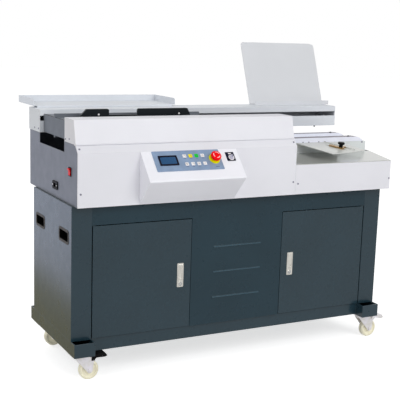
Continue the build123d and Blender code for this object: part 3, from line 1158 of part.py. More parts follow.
def make_all():
    """Every piece, from the floor up."""
    os.makedirs("parts", exist_ok=True)
    make_casters()
    make_base_frame()
    make_cabinet()
    make_front_frame()
    make_handle_cups()
    hinge_left = MID - CENTRE_W / 2 - GAP_LATCH - DOOR_W
    hinge_right = MID + CENTRE_W / 2 + GAP_LATCH + DOOR_W
    for side, edge, turn in (("left", hinge_left, 1), ("right", hinge_right, -1)):
        make_lock(side, *make_door(f"door_{side}", edge, turn))
    make_body()
    make_front_panels()
    make_console()
    make_side_fittings()
    make_front_cover()
    make_beam()
    make_carriage()
    make_cutter()
    make_glue_unit()
    make_nipper()
    make_table()
    make_tray()
    make_lectern()


make_all()
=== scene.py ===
"""Dresses a perfect binding machine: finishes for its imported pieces, and the small pieces that only show."""

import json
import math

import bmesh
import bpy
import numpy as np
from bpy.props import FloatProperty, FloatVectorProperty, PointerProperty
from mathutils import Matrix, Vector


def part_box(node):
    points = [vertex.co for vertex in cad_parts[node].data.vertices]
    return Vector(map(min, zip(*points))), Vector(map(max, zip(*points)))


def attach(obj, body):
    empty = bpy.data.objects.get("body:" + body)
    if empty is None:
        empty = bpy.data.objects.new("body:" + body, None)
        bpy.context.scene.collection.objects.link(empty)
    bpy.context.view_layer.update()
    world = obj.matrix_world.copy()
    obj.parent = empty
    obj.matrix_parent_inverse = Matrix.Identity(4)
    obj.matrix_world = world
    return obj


bl_info = {
    "name": "Perfect Binding Machine",
    "version": (1, 0, 0),
    "blender": (4, 5, 0),
    "location": "3D View > Sidebar > Binding Machine",
    "description": "Finishes, screws, display and stage of a perfect binding machine",
    "category": "Object",
}

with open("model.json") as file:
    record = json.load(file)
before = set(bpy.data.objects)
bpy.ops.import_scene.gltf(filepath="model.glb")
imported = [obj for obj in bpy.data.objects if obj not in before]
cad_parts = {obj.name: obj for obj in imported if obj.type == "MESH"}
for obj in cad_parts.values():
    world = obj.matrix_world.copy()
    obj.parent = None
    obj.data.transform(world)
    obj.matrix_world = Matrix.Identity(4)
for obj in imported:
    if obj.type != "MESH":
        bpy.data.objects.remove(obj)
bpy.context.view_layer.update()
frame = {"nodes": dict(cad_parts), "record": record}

CORNER = np.array(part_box("cabinet_shell")[0])
MM = 0.001
RIGHTWARD = (1.0, 0.0, 0.0)
REARWARD = (0.0, 1.0, 0.0)
UPWARD = (0.0, 0.0, 1.0)
FORWARD = (0.0, -1.0, 0.0)
DOWNWARD = (0.0, 0.0, -1.0)
LEFTWARD = (-1.0, 0.0, 0.0)

# The console's face runs from its top edge this far forward and this far down.
CONSOLE_DEPTH = 93 * MM
CONSOLE_DROP = 97.5 * MM
CONSOLE_TOP_DROP = 28 * MM

# How far the tops of the console's pieces stand out of its face.
KEYPAD_THICKNESS = 1.5 * MM
KEY_TOP = 3.3 * MM
STOP_TOP = 26.0 * MM
SELECTOR_PLATE_TOP = 1.2 * MM
SELECTOR_RING_TOP = 5.2 * MM
SELECTOR_TOP = 14.2 * MM

# Places on the console's face, in millimetres right of its left edge and down from its top edge.
DISPLAY_PLACE = (98.5, 45.0)
FIRST_KEY = (168.0, 27.5)
KEY_PITCH = (24.8, 36.0)
KEY_LEGEND_DROP = 11.0
STOP_PLACE = (288.0, 44.0)
STOP_LEGEND_PLACE = (291.0, 80.0)
SELECTOR_PLACE = (359.5, 44.0)
SELECTOR_MARK_PLACE = (359.5, 23.5)

# Screws on front faces, in millimetres right and up of the cabinet's low corner.
PANEL_SCREWS = ((22.1, 552.4), (912.6, 554.2), (935.8, 546.2), (1391.5, 547.8))
JAW_BOLTS = ((171.6, 812.0), (507.0, 812.0))
NIP_SCREWS = ((1053.0, 689.0), (1082.0, 689.0), (1132.0, 689.0), (1164.0, 689.0))
BED_SCREW = (1357.0, 683.0)

# Screws on the ends of the cover and the rear casing, in millimetres rearwards and up of that corner.
COVER_SCREWS = ((96.3, 735.0), (55.6, 739.5))
BEAM_SCREWS = ((461.5, 737.5), (412.5, 738.9))

# Screws on the nipping rails' tops and under the rear casing, in millimetres right and rearwards of it.
FRONT_RAIL_SCREW = (1291.7, 133.0)
REAR_RAIL_SCREW = (1300.0, 276.0)
BEAM_BOLT = (1301.0, 404.0)

# Screws on the long panel's chamfer, in millimetres right, rearwards and up of it, and where they point.
CHAMFER_SCREWS = ((20.4, -20.0, 711.5), (913.4, -20.0, 711.5))
CHAMFER_OUT = (0.0, -27.0, 25.0)

# The nipping rails' height, how far the cheek's top lies under the carriage's, and where its trim runs.
RAIL_HEIGHT = 20 * MM
CHEEK_DROP = 14 * MM
CHEEK_TRIM = ((1.0, 147.0), (160.0, 279.0))

# Edges that are sharper than this, in degrees, stay sharp: on new pieces and on packed ones.
SHARP_NEW = 40.0
SHARP_PACKED = 32.0

# The floor as glossy paint mirrors it, from here to the middle: a colour for each share of that way.
MIRROR_FROM = -3.0
MIRROR_TONES = ((0.0, (1.0, 1.05, 1.25)), (0.6, (1.0, 1.05, 1.25)), (0.66, (0.42, 0.37, 0.2)),
                (0.74, (0.42, 0.37, 0.2)), (0.77, (0.8, 0.8, 0.8)))

# The camera's place in metres, how far it turned, dipped and rolled in radians, and its lens.
CAMERA_PLACE = (-1.7965, -3.3203, 1.2963)
CAMERA_TURN = -0.483993
CAMERA_DIP = 0.184219
CAMERA_ROLL = 0.031538
CAMERA_LENS = 82.4175

# Nodes whose look differs from the rest of their slot. The console's differs by a painted highlight, and the
# nipping rails' partly by a painted reflection along their tops.
OWN_FINISH = {"console_housing": "console_paint", "nip_bed": "nipping_paint", "nipper_front": "nipping_paint",
              "key_switch": "legend_navy", "selector_knob": "knob_grey"}


def colour_property(name, description, tone):
    """A colour that a user may change, written as it looks on a screen."""
    return FloatVectorProperty(name=name, description=description, subtype="COLOR_GAMMA", size=3,
                               min=0.0, max=1.0, default=[level / 255 for level in tone])


def length_property(name, description, millimetres, top):
    """A length that a user may change, in metres."""
    return FloatProperty(name=name, description=description, subtype="DISTANCE", unit="LENGTH",
                         min=0.0, max=top * MM, precision=5, default=millimetres * MM)


class BinderColours(bpy.types.PropertyGroup):
    """Colours of the machine's finishes."""

    cabinet: colour_property("Cabinet", "Paint of the cabinet and its base", (30, 52, 62))
    doors: colour_property("Doors", "Paint of the two doors", (30, 52, 62))
    body: colour_property("Body", "Paint of the body's grey walls", (104, 108, 118))
    panels: colour_property("Panels", "Powder coat of the front panels, cover and console", (226, 226, 232))
    beam: colour_property("Beam", "Powder coat of the rear casing, tray and nipping rails", (221, 225, 231))
    nipper: colour_property("Nipping rails", "Powder coat of the nipping rails' sides", (236, 238, 250))
    lectern: colour_property("Lectern", "Powder coat of the copy holder", (215, 217, 221))
    table: colour_property("Table", "Gloss paint of the sloping table", (186, 188, 184))
    stop_plate: colour_property("Stop plate", "Satin paint of the stop plate", (208, 210, 206))
    carriage: colour_property("Carriage", "Grey paint of the book carriage", (106, 111, 119))
    jaw: colour_property("Jaw", "Black paint of the clamp's jaw", (10, 18, 23))
    keypad: colour_property("Keypad", "Film of the keypad", (128, 150, 180))
    screen: colour_property("Screen", "Lit panel of the display", (24, 74, 118))
    wheels: colour_property("Wheels", "Nylon of the caster wheels", (247, 241, 216))
    floor: colour_property("Floor", "Studio floor", (236, 236, 236))


class BinderSizes(bpy.types.PropertyGroup):
    """Sizes of the small pieces and of the softened edges."""

    sheet_edge: length_property("Sheet edges", "Rounding of folded and cut sheet metal", 0.7, 5)
    casting_edge: length_property("Moulded edges", "Rounding of moulded and turned pieces", 0.5, 5)
    screw_radius: length_property("Screw radius", "Radius of the panel screws' heads", 3.6, 10)
    screw_height: length_property("Screw height", "How far the panel screws stand proud", 1.8, 10)
    bolt_radius: length_property("Bolt radius", "Radius of the small bolts", 4.0, 10)


class BinderStudio(bpy.types.PropertyGroup):
    """Light of the stage."""

    key_power: FloatProperty(name="Key light", description="Power of the large light at the front right",
                             subtype="POWER", unit="POWER", min=0.0, default=170.0)
    fill_power: FloatProperty(name="Fill light", description="Power of the soft light at the left",
                              subtype="POWER", unit="POWER", min=0.0, default=34.0)
    back_power: FloatProperty(name="Backdrop light", description="Power of the light on the floor behind",
                              subtype="POWER", unit="POWER", min=0.0, default=120.0)
    sky: FloatProperty(name="Room light", description="Strength of the even light from all round",
                       min=0.0, max=2.0, default=0.5)


def linear(tone):
    """A screen colour as the shader counts it: the standard curve, undone channel by channel."""
    tone = np.asarray(tone, float)
    light = np.where(tone <= 0.04045, tone / 12.92, ((tone + 0.055) / 1.055) ** 2.4)
    return (*light.tolist(), 1.0)


def shaded(tone, share):
    """A colour made lighter or darker by a share of itself."""
    return tuple(min(1.0, channel * share) for channel in tone)


class Finish:
    """A procedural material while its nodes are being joined. It reads object coordinates only."""

    def __init__(self, name):
        self.material = bpy.data.materials.new(name + "_finish")
        self.material.use_nodes = True
        self.tree = self.material.node_tree
        self.shader = self.tree.nodes["Principled BSDF"]
        self.place = self.add("ShaderNodeTexCoord").outputs["Object"]

    def add(self, kind, **settings):
        """One more node, with its settings."""
        node = self.tree.nodes.new(kind)
        for key, value in settings.items():
            setattr(node, key, value)
        return node

    def join(self, source, target):
        """A link from one socket to another."""
        self.tree.links.new(source, target)

    def set(self, **values):
        """Constants on the shader's own sockets, named with underscores."""
        for key, value in values.items():
            self.shader.inputs[key.replace("_", " ")].default_value = value

    def stretched(self, scale):
        """Object coordinates stretched by three factors."""
        mapping = self.add("ShaderNodeMapping")
        mapping.inputs["Scale"].default_value = scale
        self.join(self.place, mapping.inputs["Vector"])
        return mapping.outputs["Vector"]

    def noise(self, scale, detail=2.0, place=None):
        """Cloudy noise with so many features to the metre."""
        node = self.add("ShaderNodeTexNoise")
        node.inputs["Scale"].default_value = scale
        node.inputs["Detail"].default_value = detail
        self.join(place or self.place, node.inputs["Vector"])
        return node.outputs["Fac"]

    def spread(self, source, low, high, start=0.3, end=0.7):
        """The source's middle values spread between two numbers."""
        node = self.add("ShaderNodeMapRange")
        for key, value in (("From Min", start), ("From Max", end), ("To Min", low), ("To Max", high)):
            node.inputs[key].default_value = value
        self.join(source, node.inputs["Value"])
        return node.outputs["Result"]

    def past(self, axis, start, end):
        """Nought before the first place along an axis of the object and one past the second, in metres."""
        split = self.add("ShaderNodeSeparateXYZ")
        self.join(self.place, split.inputs[0])
        return self.spread(split.outputs[axis], 0.0, 1.0, start, end)

    def less(self, source, other):
        """One number less another."""
        node = self.add("ShaderNodeMath", operation="SUBTRACT")
        self.join(source, node.inputs[0])
        self.join(other, node.inputs[1])
        return node.outputs[0]

    def retone(self, share, tone):
        """Another colour wherever the share is one."""
        before = self.shader.inputs["Base Color"].links[0].from_socket
        self.join(self.between(share, before, linear(tone)), self.shader.inputs["Base Color"])

    def between(self, share, one, other):
        """A blend of two colours by a share."""
        node = self.add("ShaderNodeMix", data_type="RGBA")
        self.join(share, node.inputs[0])
        for index, value in ((6, one), (7, other)):
            if isinstance(value, tuple):
                node.inputs[index].default_value = value
            else:
                self.join(value, node.inputs[index])
        return node.outputs[2]

    def bump(self, height, strength, depth):
        """A bump of so many metres, handed to the shader."""
        node = self.add("ShaderNodeBump")
        node.inputs["Strength"].default_value = strength
        node.inputs["Distance"].default_value = depth
        self.join(height, node.inputs["Height"])
        self.join(node.outputs["Normal"], self.shader.inputs["Normal"])


def sprayed(name, tone, roughness, peel=0.25, coat=0.0, mottle=0.04, specular=0.5):
    """Oven-dried paint on sheet, open to more nodes: faint clouds of tone, uneven gloss, orange-peel skin."""
    paint = Finish(name)
    clouds = paint.noise(4.0, 3.0)
    tones = paint.between(paint.spread(clouds, 0.0, 1.0), linear(shaded(tone, 1.0 - mottle)),
                          linear(shaded(tone, 1.0 + mottle)))
    paint.join(tones, paint.shader.inputs["Base Color"])
    paint.join(paint.spread(paint.noise(26.0, 4.0), roughness - 0.05, roughness + 0.05),
               paint.shader.inputs["Roughness"])
    paint.set(Specular_IOR_Level=specular, IOR=1.5, Coat_Weight=coat, Coat_Roughness=0.12)
    paint.bump(paint.noise(520.0, 2.0), peel, 0.15 * MM)
    return paint


def sprayed_paint(name, tone, roughness, **skin):
    """The same paint, finished."""
    return sprayed(name, tone, roughness, **skin).material


def louvre_highlight_paint(name, tone):
    """The cabinet's paint, a little paler on the louvres that stand in front of the sheet: a painted highlight
    for the light their lips catch.
    """
    paint = sprayed(name, tone, 0.3, specular=0.3)
    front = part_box("cabinet_shell")[0].y
    # Painted highlight: the louvres' lips, in front of the sheet, are painted paler than the rest of the
    # cabinet.
    paint.retone(paint.past("Y", front - 0.3 * MM, front - 1.2 * MM), shaded(tone, 1.35))
    return paint.material


def end_shaded_paint(name, tone, node, mottle):
    """Powder coat with painted shade on the flat left end of a node: warmer and greyer there."""
    paint = sprayed(name, tone, 0.45, mottle=mottle)
    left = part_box(node)[0].x
    # Painted shade: the left end gets less light than the front, so it is painted darker and warmer.
    end_shade = (tone[0] * 0.96, tone[1] * 0.955, tone[2] * 0.94)
    paint.retone(paint.past("X", left + 2.2 * MM, left + 1.2 * MM), end_shade)
    return paint.material


def nipping_paint(name, tone):
    """Pale powder coat: greyer on the bed below the rails, and painted dark grey along the rails' tops, a
    painted reflection of the dark surroundings they mirror.
    """
    paint = sprayed(name, tone, 0.42, mottle=0.012)
    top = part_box("nipper_front")[1].z
    bed = top - RAIL_HEIGHT
    paint.retone(paint.past("Z", bed + 0.5 * MM, bed - 0.5 * MM), (0.86, 0.88, 0.88))
    # Painted reflection: the rails' tops are painted dark grey for the dark surroundings they mirror.
    paint.retone(paint.past("Z", top - 0.9 * MM, top - 0.4 * MM), (0.50, 0.48, 0.52))
    return paint.material


def hollow_shaded_moulding(name, tone, hollow_shade):
    """Moulded plastic with painted shade: near black in the hollow behind the cabinet's two side walls."""
    plastic = moulded(name, tone, 0.42)
    low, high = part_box("cabinet_shell")
    inside = plastic.less(plastic.past("X", low.x - 0.2 * MM, low.x + 0.6 * MM),
                          plastic.past("X", high.x - 0.6 * MM, high.x + 0.2 * MM))
    # Painted shade: the hollow behind the side walls, where little light reaches, is painted near black.
    plastic.retone(inside, hollow_shade)
    plastic.set(Specular_IOR_Level=0.12)
    return plastic.material


def moulded(name, tone, roughness, grain=0.3, grain_size=1.2, specular=0.5, sheen=0.0):
    """Moulded plastic, open to more nodes: an even tone, a spark-eroded grain and slightly uneven gloss."""
    plastic = Finish(name)
    tones = plastic.between(plastic.spread(plastic.noise(30.0), 0.0, 1.0), linear(shaded(tone, 0.95)),
                            linear(shaded(tone, 1.04)))
    plastic.join(tones, plastic.shader.inputs["Base Color"])
    plastic.join(plastic.spread(plastic.noise(90.0), roughness - 0.04, roughness + 0.06),
                 plastic.shader.inputs["Roughness"])
    plastic.set(Specular_IOR_Level=specular, Sheen_Weight=sheen)
    plastic.bump(plastic.noise(1000.0 / grain_size, 1.0), grain, 0.08 * MM)
    return plastic


def moulding(name, tone, roughness, **surface):
    """The same plastic, finished."""
    return moulded(name, tone, roughness, **surface).material


def worked_metal(name, tone, roughness, stretch, streaks=0.12, depth=0.03):
    """Bare or plated metal: fine streaks along the way it was ground or turned."""
    metal = Finish(name)
    lines = metal.noise(420.0, 3.0, metal.stretched(stretch))
    tones = metal.between(metal.spread(lines, 0.0, 1.0), linear(shaded(tone, 1.0 - streaks)), linear(tone))
    metal.join(tones, metal.shader.inputs["Base Color"])
    metal.join(metal.spread(lines, roughness - 0.06, roughness + 0.1), metal.shader.inputs["Roughness"])
    metal.set(Metallic=1.0)
    metal.bump(lines, 0.3, depth * MM)
    return metal.material


def zinc_plate(name):
    """Bright zinc: small cloudy spangles and a dull yellow-grey bloom in them."""
    zinc = Finish(name)
    cells = zinc.add("ShaderNodeTexVoronoi", feature="F1")
    cells.inputs["Scale"].default_value = 130.0
    zinc.join(zinc.place, cells.inputs["Vector"])
    bloom = zinc.spread(zinc.noise(45.0, 3.0), 0.0, 1.0)
    tones = zinc.between(bloom, linear((0.93, 0.92, 0.95)), linear((0.86, 0.85, 0.83)))
    zinc.join(tones, zinc.shader.inputs["Base Color"])
    zinc.join(zinc.spread(cells.outputs["Distance"], 0.3, 0.48, 0.0, 0.8), zinc.shader.inputs["Roughness"])
    zinc.set(Metallic=0.55)
    zinc.bump(zinc.noise(700.0), 0.15, 0.05 * MM)
    return zinc.material


def lit_panel(name, tone):
    """The display's lit panel: rows of fine dots under glass."""
    panel = Finish(name)
    dots = panel.add("ShaderNodeTexBrick", offset=0.0, squash=1.0)
    dots.inputs["Scale"].default_value = 1.0
    dots.inputs["Brick Width"].default_value = 1.1 * MM
    dots.inputs["Row Height"].default_value = 1.1 * MM
    dots.inputs["Mortar Size"].default_value = 0.12 * MM
    dots.inputs["Color1"].default_value = linear(tone)
    dots.inputs["Color2"].default_value = linear(shaded(tone, 1.06))
    dots.inputs["Mortar"].default_value = linear(shaded(tone, 0.8))
    panel.join(panel.place, dots.inputs["Vector"])
    panel.join(dots.outputs["Color"], panel.shader.inputs["Base Color"])
    panel.join(dots.outputs["Color"], panel.shader.inputs["Emission Color"])
    panel.set(Emission_Strength=0.1, Roughness=0.3, Specular_IOR_Level=0.2, Coat_Weight=0.12,
              Coat_Roughness=0.05)
    return panel.material


def palette():
    """Every finish by its slot's name, made once."""
    tones = bpy.context.scene.binder_colours
    return {
        "cabinet_paint": sprayed_paint("cabinet_paint", tones.cabinet, 0.3, specular=0.3, coat=0.35),
        "louvre_paint": louvre_highlight_paint("louvre_paint", tones.cabinet),
        "door_paint": sprayed_paint("door_paint", tones.doors, 0.28, specular=0.3, coat=0.35),
        "body_paint": sprayed_paint("body_paint", tones.body, 0.42),
        "white_paint": end_shaded_paint("white_paint", tones.panels, "front_cover", 0.01),
        # Painted highlight: the console is the panels' powder coat, painted 6% lighter for the brighter light
        # on its sloping face.
        "console_paint": sprayed_paint("console_paint", shaded(tones.panels, 1.06), 0.45, mottle=0.01),
        "nipping_paint": nipping_paint("nipping_paint", tones.nipper),
        "beam_paint": end_shaded_paint("beam_paint", tones.beam, "rail_beam", 0.012),
        "lectern_paint": sprayed_paint("lectern_paint", tones.lectern, 0.5, mottle=0.012),
        "table_paint": sprayed_paint("table_paint", tones.table, 0.14, peel=0.1, coat=1.0, mottle=0.015),
        "carriage_paint": sprayed_paint("carriage_paint", tones.carriage, 0.5, mottle=0.03, specular=0.25),
        "jaw_black": sprayed_paint("jaw_black", tones.jaw, 0.42, mottle=0.08, specular=0.16),
        "stop_beige": sprayed_paint("stop_beige", tones.stop_plate, 0.34, coat=0.3, mottle=0.015),
        "handle_bezel": hollow_shaded_moulding("handle_bezel", (0.26, 0.24, 0.22), (0.02, 0.02, 0.02)),
        "lock_chrome": worked_metal("lock_chrome", (0.90, 0.89, 0.86), 0.3, (1.0, 1.0, 0.05)),
        "steel": worked_metal("steel", (0.72, 0.73, 0.75), 0.22, (0.04, 1.0, 1.0)),
        "brass": worked_metal("brass", (0.70, 0.55, 0.32), 0.24, (1.0, 1.0, 1.0), 0.2),
        "tank_aluminium": worked_metal("tank_aluminium", (0.78, 0.79, 0.80), 0.4, (0.5, 0.5, 0.5), 0.08),
        "zinc": zinc_plate("zinc"),
        "screw_grey": worked_metal("screw_grey", (0.56, 0.56, 0.62), 0.4, (1.0, 1.0, 1.0)),
        "nylon": moulding("nylon", tones.wheels, 0.42, grain=0.12, sheen=0.1),
        "black_plastic": moulding("black_plastic", (0.04, 0.04, 0.045), 0.42, specular=0.08),
        "estop_red": moulding("estop_red", (0.98, 0.01, 0.06), 0.4, grain=0.04, specular=0.1),
        "estop_yellow": moulding("estop_yellow", (1.0, 0.95, 0.0), 0.4, grain=0.05, specular=0.1),
        "rocker_red": moulding("rocker_red", (0.93, 0.01, 0.01), 0.3, grain=0.04, specular=0.12),
        "keypad_film": moulding("keypad_film", tones.keypad, 0.4, grain=0.2, grain_size=0.6),
        "key_white": moulding("key_white", (0.94, 0.93, 0.93), 0.45, grain=0.1),
        "key_yellow": moulding("key_yellow", (1.0, 0.90, 0.0), 0.5, grain=0.1, specular=0.08),
        "key_green": moulding("key_green", (0.0, 0.86, 0.22), 0.5, grain=0.1, specular=0.08),
        "display_bezel": moulding("display_bezel", (0.06, 0.06, 0.13), 0.3, grain=0.03, specular=0.1),
        "legend_navy": moulding("legend_navy", (0.06, 0.07, 0.17), 0.4, grain=0.03, specular=0.1),
        "knob_grey": moulding("knob_grey", (0.80, 0.79, 0.86), 0.45, grain=0.05),
        "key_mark": moulding("key_mark", (0.50, 0.44, 0.46), 0.5, grain=0.05),
        "film_mark": moulding("film_mark", (0.30, 0.36, 0.50), 0.5, grain=0.05),
        "display_light": lit_panel("display_light", tones.screen),
    }


def finish_named(name):
    """A finish by its slot's name. The whole palette is made the first time that one is asked for."""
    if name + "_finish" not in bpy.data.materials:
        palette()
    return bpy.data.materials[name + "_finish"]


def grid_faces(rows, columns, wrap):
    """Quads over a rows by columns grid of points, the last column joined to the first where it wraps."""
    i, j = np.meshgrid(np.arange(rows - 1), np.arange(columns if wrap else columns - 1), indexing="ij")
    k = (j + 1) % columns
    return np.stack([i * columns + j, i * columns + k, (i + 1) * columns + k, (i + 1) * columns + j],
                    axis=-1).reshape(-1, 4)


def seat(origin, across, out):
    """A place to set small pieces on: its origin, and its axes across, up and outwards as rows."""
    across = np.asarray(across, float)
    out = np.asarray(out, float)
    across = across / np.linalg.norm(across)
    out = out / np.linalg.norm(out)
    return np.asarray(origin, float), np.stack([across, np.cross(out, across), out])


def on_seat(points, place):
    """Points given across, up and outwards, moved to a seat: the origin plus each number times its axis."""
    origin, axes = place
    return origin + points @ axes


def spot(x, y, z):
    """A place on the machine in metres, from millimetres right, rearwards and up of the cabinet's corner."""
    return CORNER + np.array([x, y, z]) * MM


def make_piece(name, shells, body, slot_name, finish=None):
    """A piece from closed shells of points and quads: poles merged, faces outwards, riding on its body."""
    points, faces, count = [], [], 0
    for shell_points, shell_faces in shells:
        points.append(shell_points)
        faces.append(shell_faces + count)
        count += len(shell_points)
    mesh = bpy.data.meshes.new(name)
    mesh.from_pydata(np.concatenate(points).tolist(), [], np.concatenate(faces).tolist())
    work = bmesh.new()
    work.from_mesh(mesh)
    bmesh.ops.remove_doubles(work, verts=work.verts, dist=0.00001)
    bmesh.ops.recalc_face_normals(work, faces=work.faces)
    work.to_mesh(mesh)
    work.free()
    piece = bpy.data.objects.new(name, mesh)
    bpy.context.scene.collection.objects.link(piece)
    mesh.shade_smooth()
    mesh.set_sharp_from_angle(angle=math.radians(SHARP_NEW))
    mesh.materials.append(finish_named(finish or slot_name))
    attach(piece, body)


def shade_group():
    """A node group that smooths faces and keeps edges sharper than a limit, whatever normals they had."""
    name = "smooth_by_angle"
    if name in bpy.data.node_groups:
        return bpy.data.node_groups[name]
    group = bpy.data.node_groups.new(name, "GeometryNodeTree")
    group.interface.new_socket("Geometry", in_out="INPUT", socket_type="NodeSocketGeometry")
    group.interface.new_socket("Geometry", in_out="OUTPUT", socket_type="NodeSocketGeometry")
    entry = group.nodes.new("NodeGroupInput")
    leave = group.nodes.new("NodeGroupOutput")
    plain = group.nodes.new("GeometryNodeRemoveAttribute")
    plain.inputs["Name"].default_value = "custom_normal"
    faces = group.nodes.new("GeometryNodeSetShadeSmooth")
    faces.domain = "FACE"
    faces.inputs["Shade Smooth"].default_value = True
    edges = group.nodes.new("GeometryNodeSetShadeSmooth")
    edges.domain = "EDGE"
    angle = group.nodes.new("GeometryNodeInputMeshEdgeAngle")
    below = group.nodes.new("FunctionNodeCompare")
    below.data_type = "FLOAT"
    below.operation = "LESS_THAN"
    below.inputs[1].default_value = math.radians(SHARP_PACKED)
    group.links.new(entry.outputs[0], plain.inputs["Geometry"])
    group.links.new(plain.outputs["Geometry"], faces.inputs["Geometry"])
    group.links.new(faces.outputs["Geometry"], edges.inputs["Geometry"])
    group.links.new(angle.outputs["Unsigned Angle"], below.inputs[0])
    group.links.new(below.outputs["Result"], edges.inputs["Shade Smooth"])
    group.links.new(edges.outputs["Geometry"], leave.inputs[0])
    return group


def round_edges(piece, width):
    """A rounded edge wherever two faces meet at more than 34 degrees."""
    bevel = piece.modifiers.new("rounded edges", "BEVEL")
    bevel.width = width
    bevel.segments = 2
    bevel.limit_method = "ANGLE"
    bevel.angle_limit = math.radians(34.0)
    bevel.use_clamp_overlap = True
    weights = piece.modifiers.new("flat faces", "WEIGHTED_NORMAL")
    weights.keep_sharp = True


def soften(node, width):
    """Joins a CAD node's loose triangles, merges its flat faces, and rounds its edges."""
    piece = frame["nodes"][node]
    piece.modifiers.new("joined", "WELD").merge_threshold = 0.00001
    flat = piece.modifiers.new("flat", "DECIMATE")
    flat.decimate_type = "DISSOLVE"
    flat.angle_limit = math.radians(0.5)
    shade = piece.modifiers.new("shading", "NODES")
    shade.node_group = shade_group()
    if width:
        round_edges(piece, width)


def dress(nodes, slot_name, width):
    """Gives CAD nodes the finish of their slot, and soft edges."""
    for node in nodes:
        piece = frame["nodes"][node]
        piece.data.materials.clear()
        piece.data.materials.append(finish_named(OWN_FINISH.get(node, slot_name)))
        soften(node, width)


def slots_by_node():
    """The record's slot of each CAD node."""
    return {part["node"]: part["material_slot"] for part in frame["record"]["subparts"]}


def dress_by_slot(slot_names, width):
    """Dresses every CAD node whose slot is among these."""
    chosen = slots_by_node()
    for slot_name in slot_names:
        dress([node for node, own in chosen.items() if own == slot_name], slot_name, width)


def cross_head(radius, height):
    """A pan-head screw: a dome over rings and spokes, cut by a cross that is deepest in the middle."""
    rings, spokes = 11, 32
    share = np.linspace(0.0, 1.0, rings)[:, None]
    turn = np.linspace(0.0, 2 * np.pi, spokes, endpoint=False)[None, :]
    x = radius * share * np.cos(turn)
    y = radius * share * np.sin(turn)
    dome = height * (0.55 + 0.45 * np.sqrt(np.clip(1 - share ** 2, 0, 1))) + 0 * turn
    arm = np.minimum(np.abs(x), np.abs(y)) / radius
    cut = np.clip(1 - arm / 0.16, 0, 1) * np.clip(1 - share / 0.62, 0, 1)
    top = np.stack([x, y, dome - 0.75 * height * np.clip(2.2 * cut, 0, 1)], axis=-1)
    rim = np.stack([x[-1], y[-1], np.zeros(spokes)], axis=-1)[None]
    base = np.zeros((1, spokes, 3))
    points = np.concatenate([top, rim, base]).reshape(-1, 3)
    return points, grid_faces(rings + 2, spokes, True)


def hex_head(radius, height, recess):
    """A hexagon bolt: rings whose radius follows the flats, chamfered, with a round recess."""
    spokes = 48
    turn = np.linspace(0.0, 2 * np.pi, spokes, endpoint=False)
    flats = math.cos(math.pi / 6) / np.cos((turn % (math.pi / 3)) - math.pi / 6)
    round_share = np.ones(spokes)
    rings = [(0.0, height - recess, round_share), (0.45, height - recess, round_share),
             (0.5, height, round_share), (0.86, height, round_share),
             (1.0, height * 0.86, flats), (1.0, 0.0, flats), (0.0, 0.0, flats)]
    points = np.stack([np.stack([radius * share * form * np.cos(turn), radius * share * form * np.sin(turn),
                                 np.full(spokes, level)], axis=-1) for share, level, form in rings])
    return points.reshape(-1, 3), grid_faces(len(rings), spokes, True)


def turned(profile):
    """A turned ring: a closed profile of radius and height in millimetres, spun round."""
    spokes = 48
    profile = np.array(profile) * MM
    turn = np.linspace(0.0, 2 * np.pi, spokes, endpoint=False)
    points = np.stack([profile[:, :1] * np.cos(turn), profile[:, :1] * np.sin(turn),
                       profile[:, 1:] + 0 * turn], axis=-1)
    return points.reshape(-1, 3), grid_faces(len(profile), spokes, True)


def pillow(width, depth, height, corner):
    """A low block with rounded plan: a superellipse outline carried up, and in over its shoulder."""
    columns = 48
    turn = np.linspace(0.0, 2 * np.pi, columns, endpoint=False)
    power = 2 / max(2.0, 1 / max(corner, 0.05))
    x = np.sign(np.cos(turn)) * np.abs(np.cos(turn)) ** power
    y = np.sign(np.sin(turn)) * np.abs(np.sin(turn)) ** power
    shoulder = min(width, depth, height) * 0.2
    centre = np.zeros(columns)
    rows = [(centre, centre, height)]
    for share in (0.5, 1.0):
        rows.append((x * (width / 2 - shoulder) * share, y * (depth / 2 - shoulder) * share, height))
    for share, level in ((0.7, height - shoulder * 0.3), (1.0, height - shoulder), (1.0, 0.0)):
        inset = shoulder * (1 - share)
        rows.append((x * (width / 2 - inset), y * (depth / 2 - inset), level))
    rows.append((centre, centre, 0.0))
    points = np.stack([np.stack([a, b, np.full(columns, c)], axis=-1) for a, b, c in rows])
    return points.reshape(-1, 3), grid_faces(len(rows), columns, True)


def stroke(path, widths, height):
    """A raised line: a ribbon along a path, as wide as asked at each of its points, closed at both ends."""
    path = np.asarray(path, float)
    ahead = np.gradient(path, axis=0)
    ahead = ahead / np.linalg.norm(ahead, axis=1, keepdims=True)
    side = np.stack([-ahead[:, 1], ahead[:, 0]], axis=1) * np.asarray(widths, float)[:, None] / 2
    plan = np.stack([path + side, path - side, path - side, path + side], axis=1)
    level = np.broadcast_to(np.array([0.0, 0.0, height, height])[:, None], (len(path), 4, 1))
    rows = np.concatenate([plan, level], axis=2)
    ends = np.repeat(np.concatenate([path[[0, -1]], [[height / 2]] * 2], axis=1)[:, None], 4, axis=1)
    points = np.concatenate([ends[:1], rows, ends[1:]])
    return points.reshape(-1, 3), grid_faces(len(points), 4, True)


def dash(start, end, width, height):
    """A straight raised line between two places, all in millimetres."""
    path = np.linspace(start, end, 25) * MM
    return stroke(path, np.full(25, width * MM), height * MM)


def arc(radius, start, sweep, count=25):
    """Places along part of a circle, from a start and through a sweep in degrees."""
    turn = np.radians(start + sweep * np.linspace(0.0, 1.0, count))
    return np.stack([radius * np.cos(turn), radius * np.sin(turn)], axis=1)


def curved_arrow(radius, start, sweep, width, height):
    """An arrow bent round a circle: an even band whose last fifth widens and runs to a point."""
    count = 31
    share = np.linspace(0.0, 1.0, count)
    head = np.clip((1.0 - share) / 0.26, 0.0, 1.0) * 1.9
    return stroke(arc(radius, start, sweep, count), width * np.where(share < 0.74, 1.0, head), height)


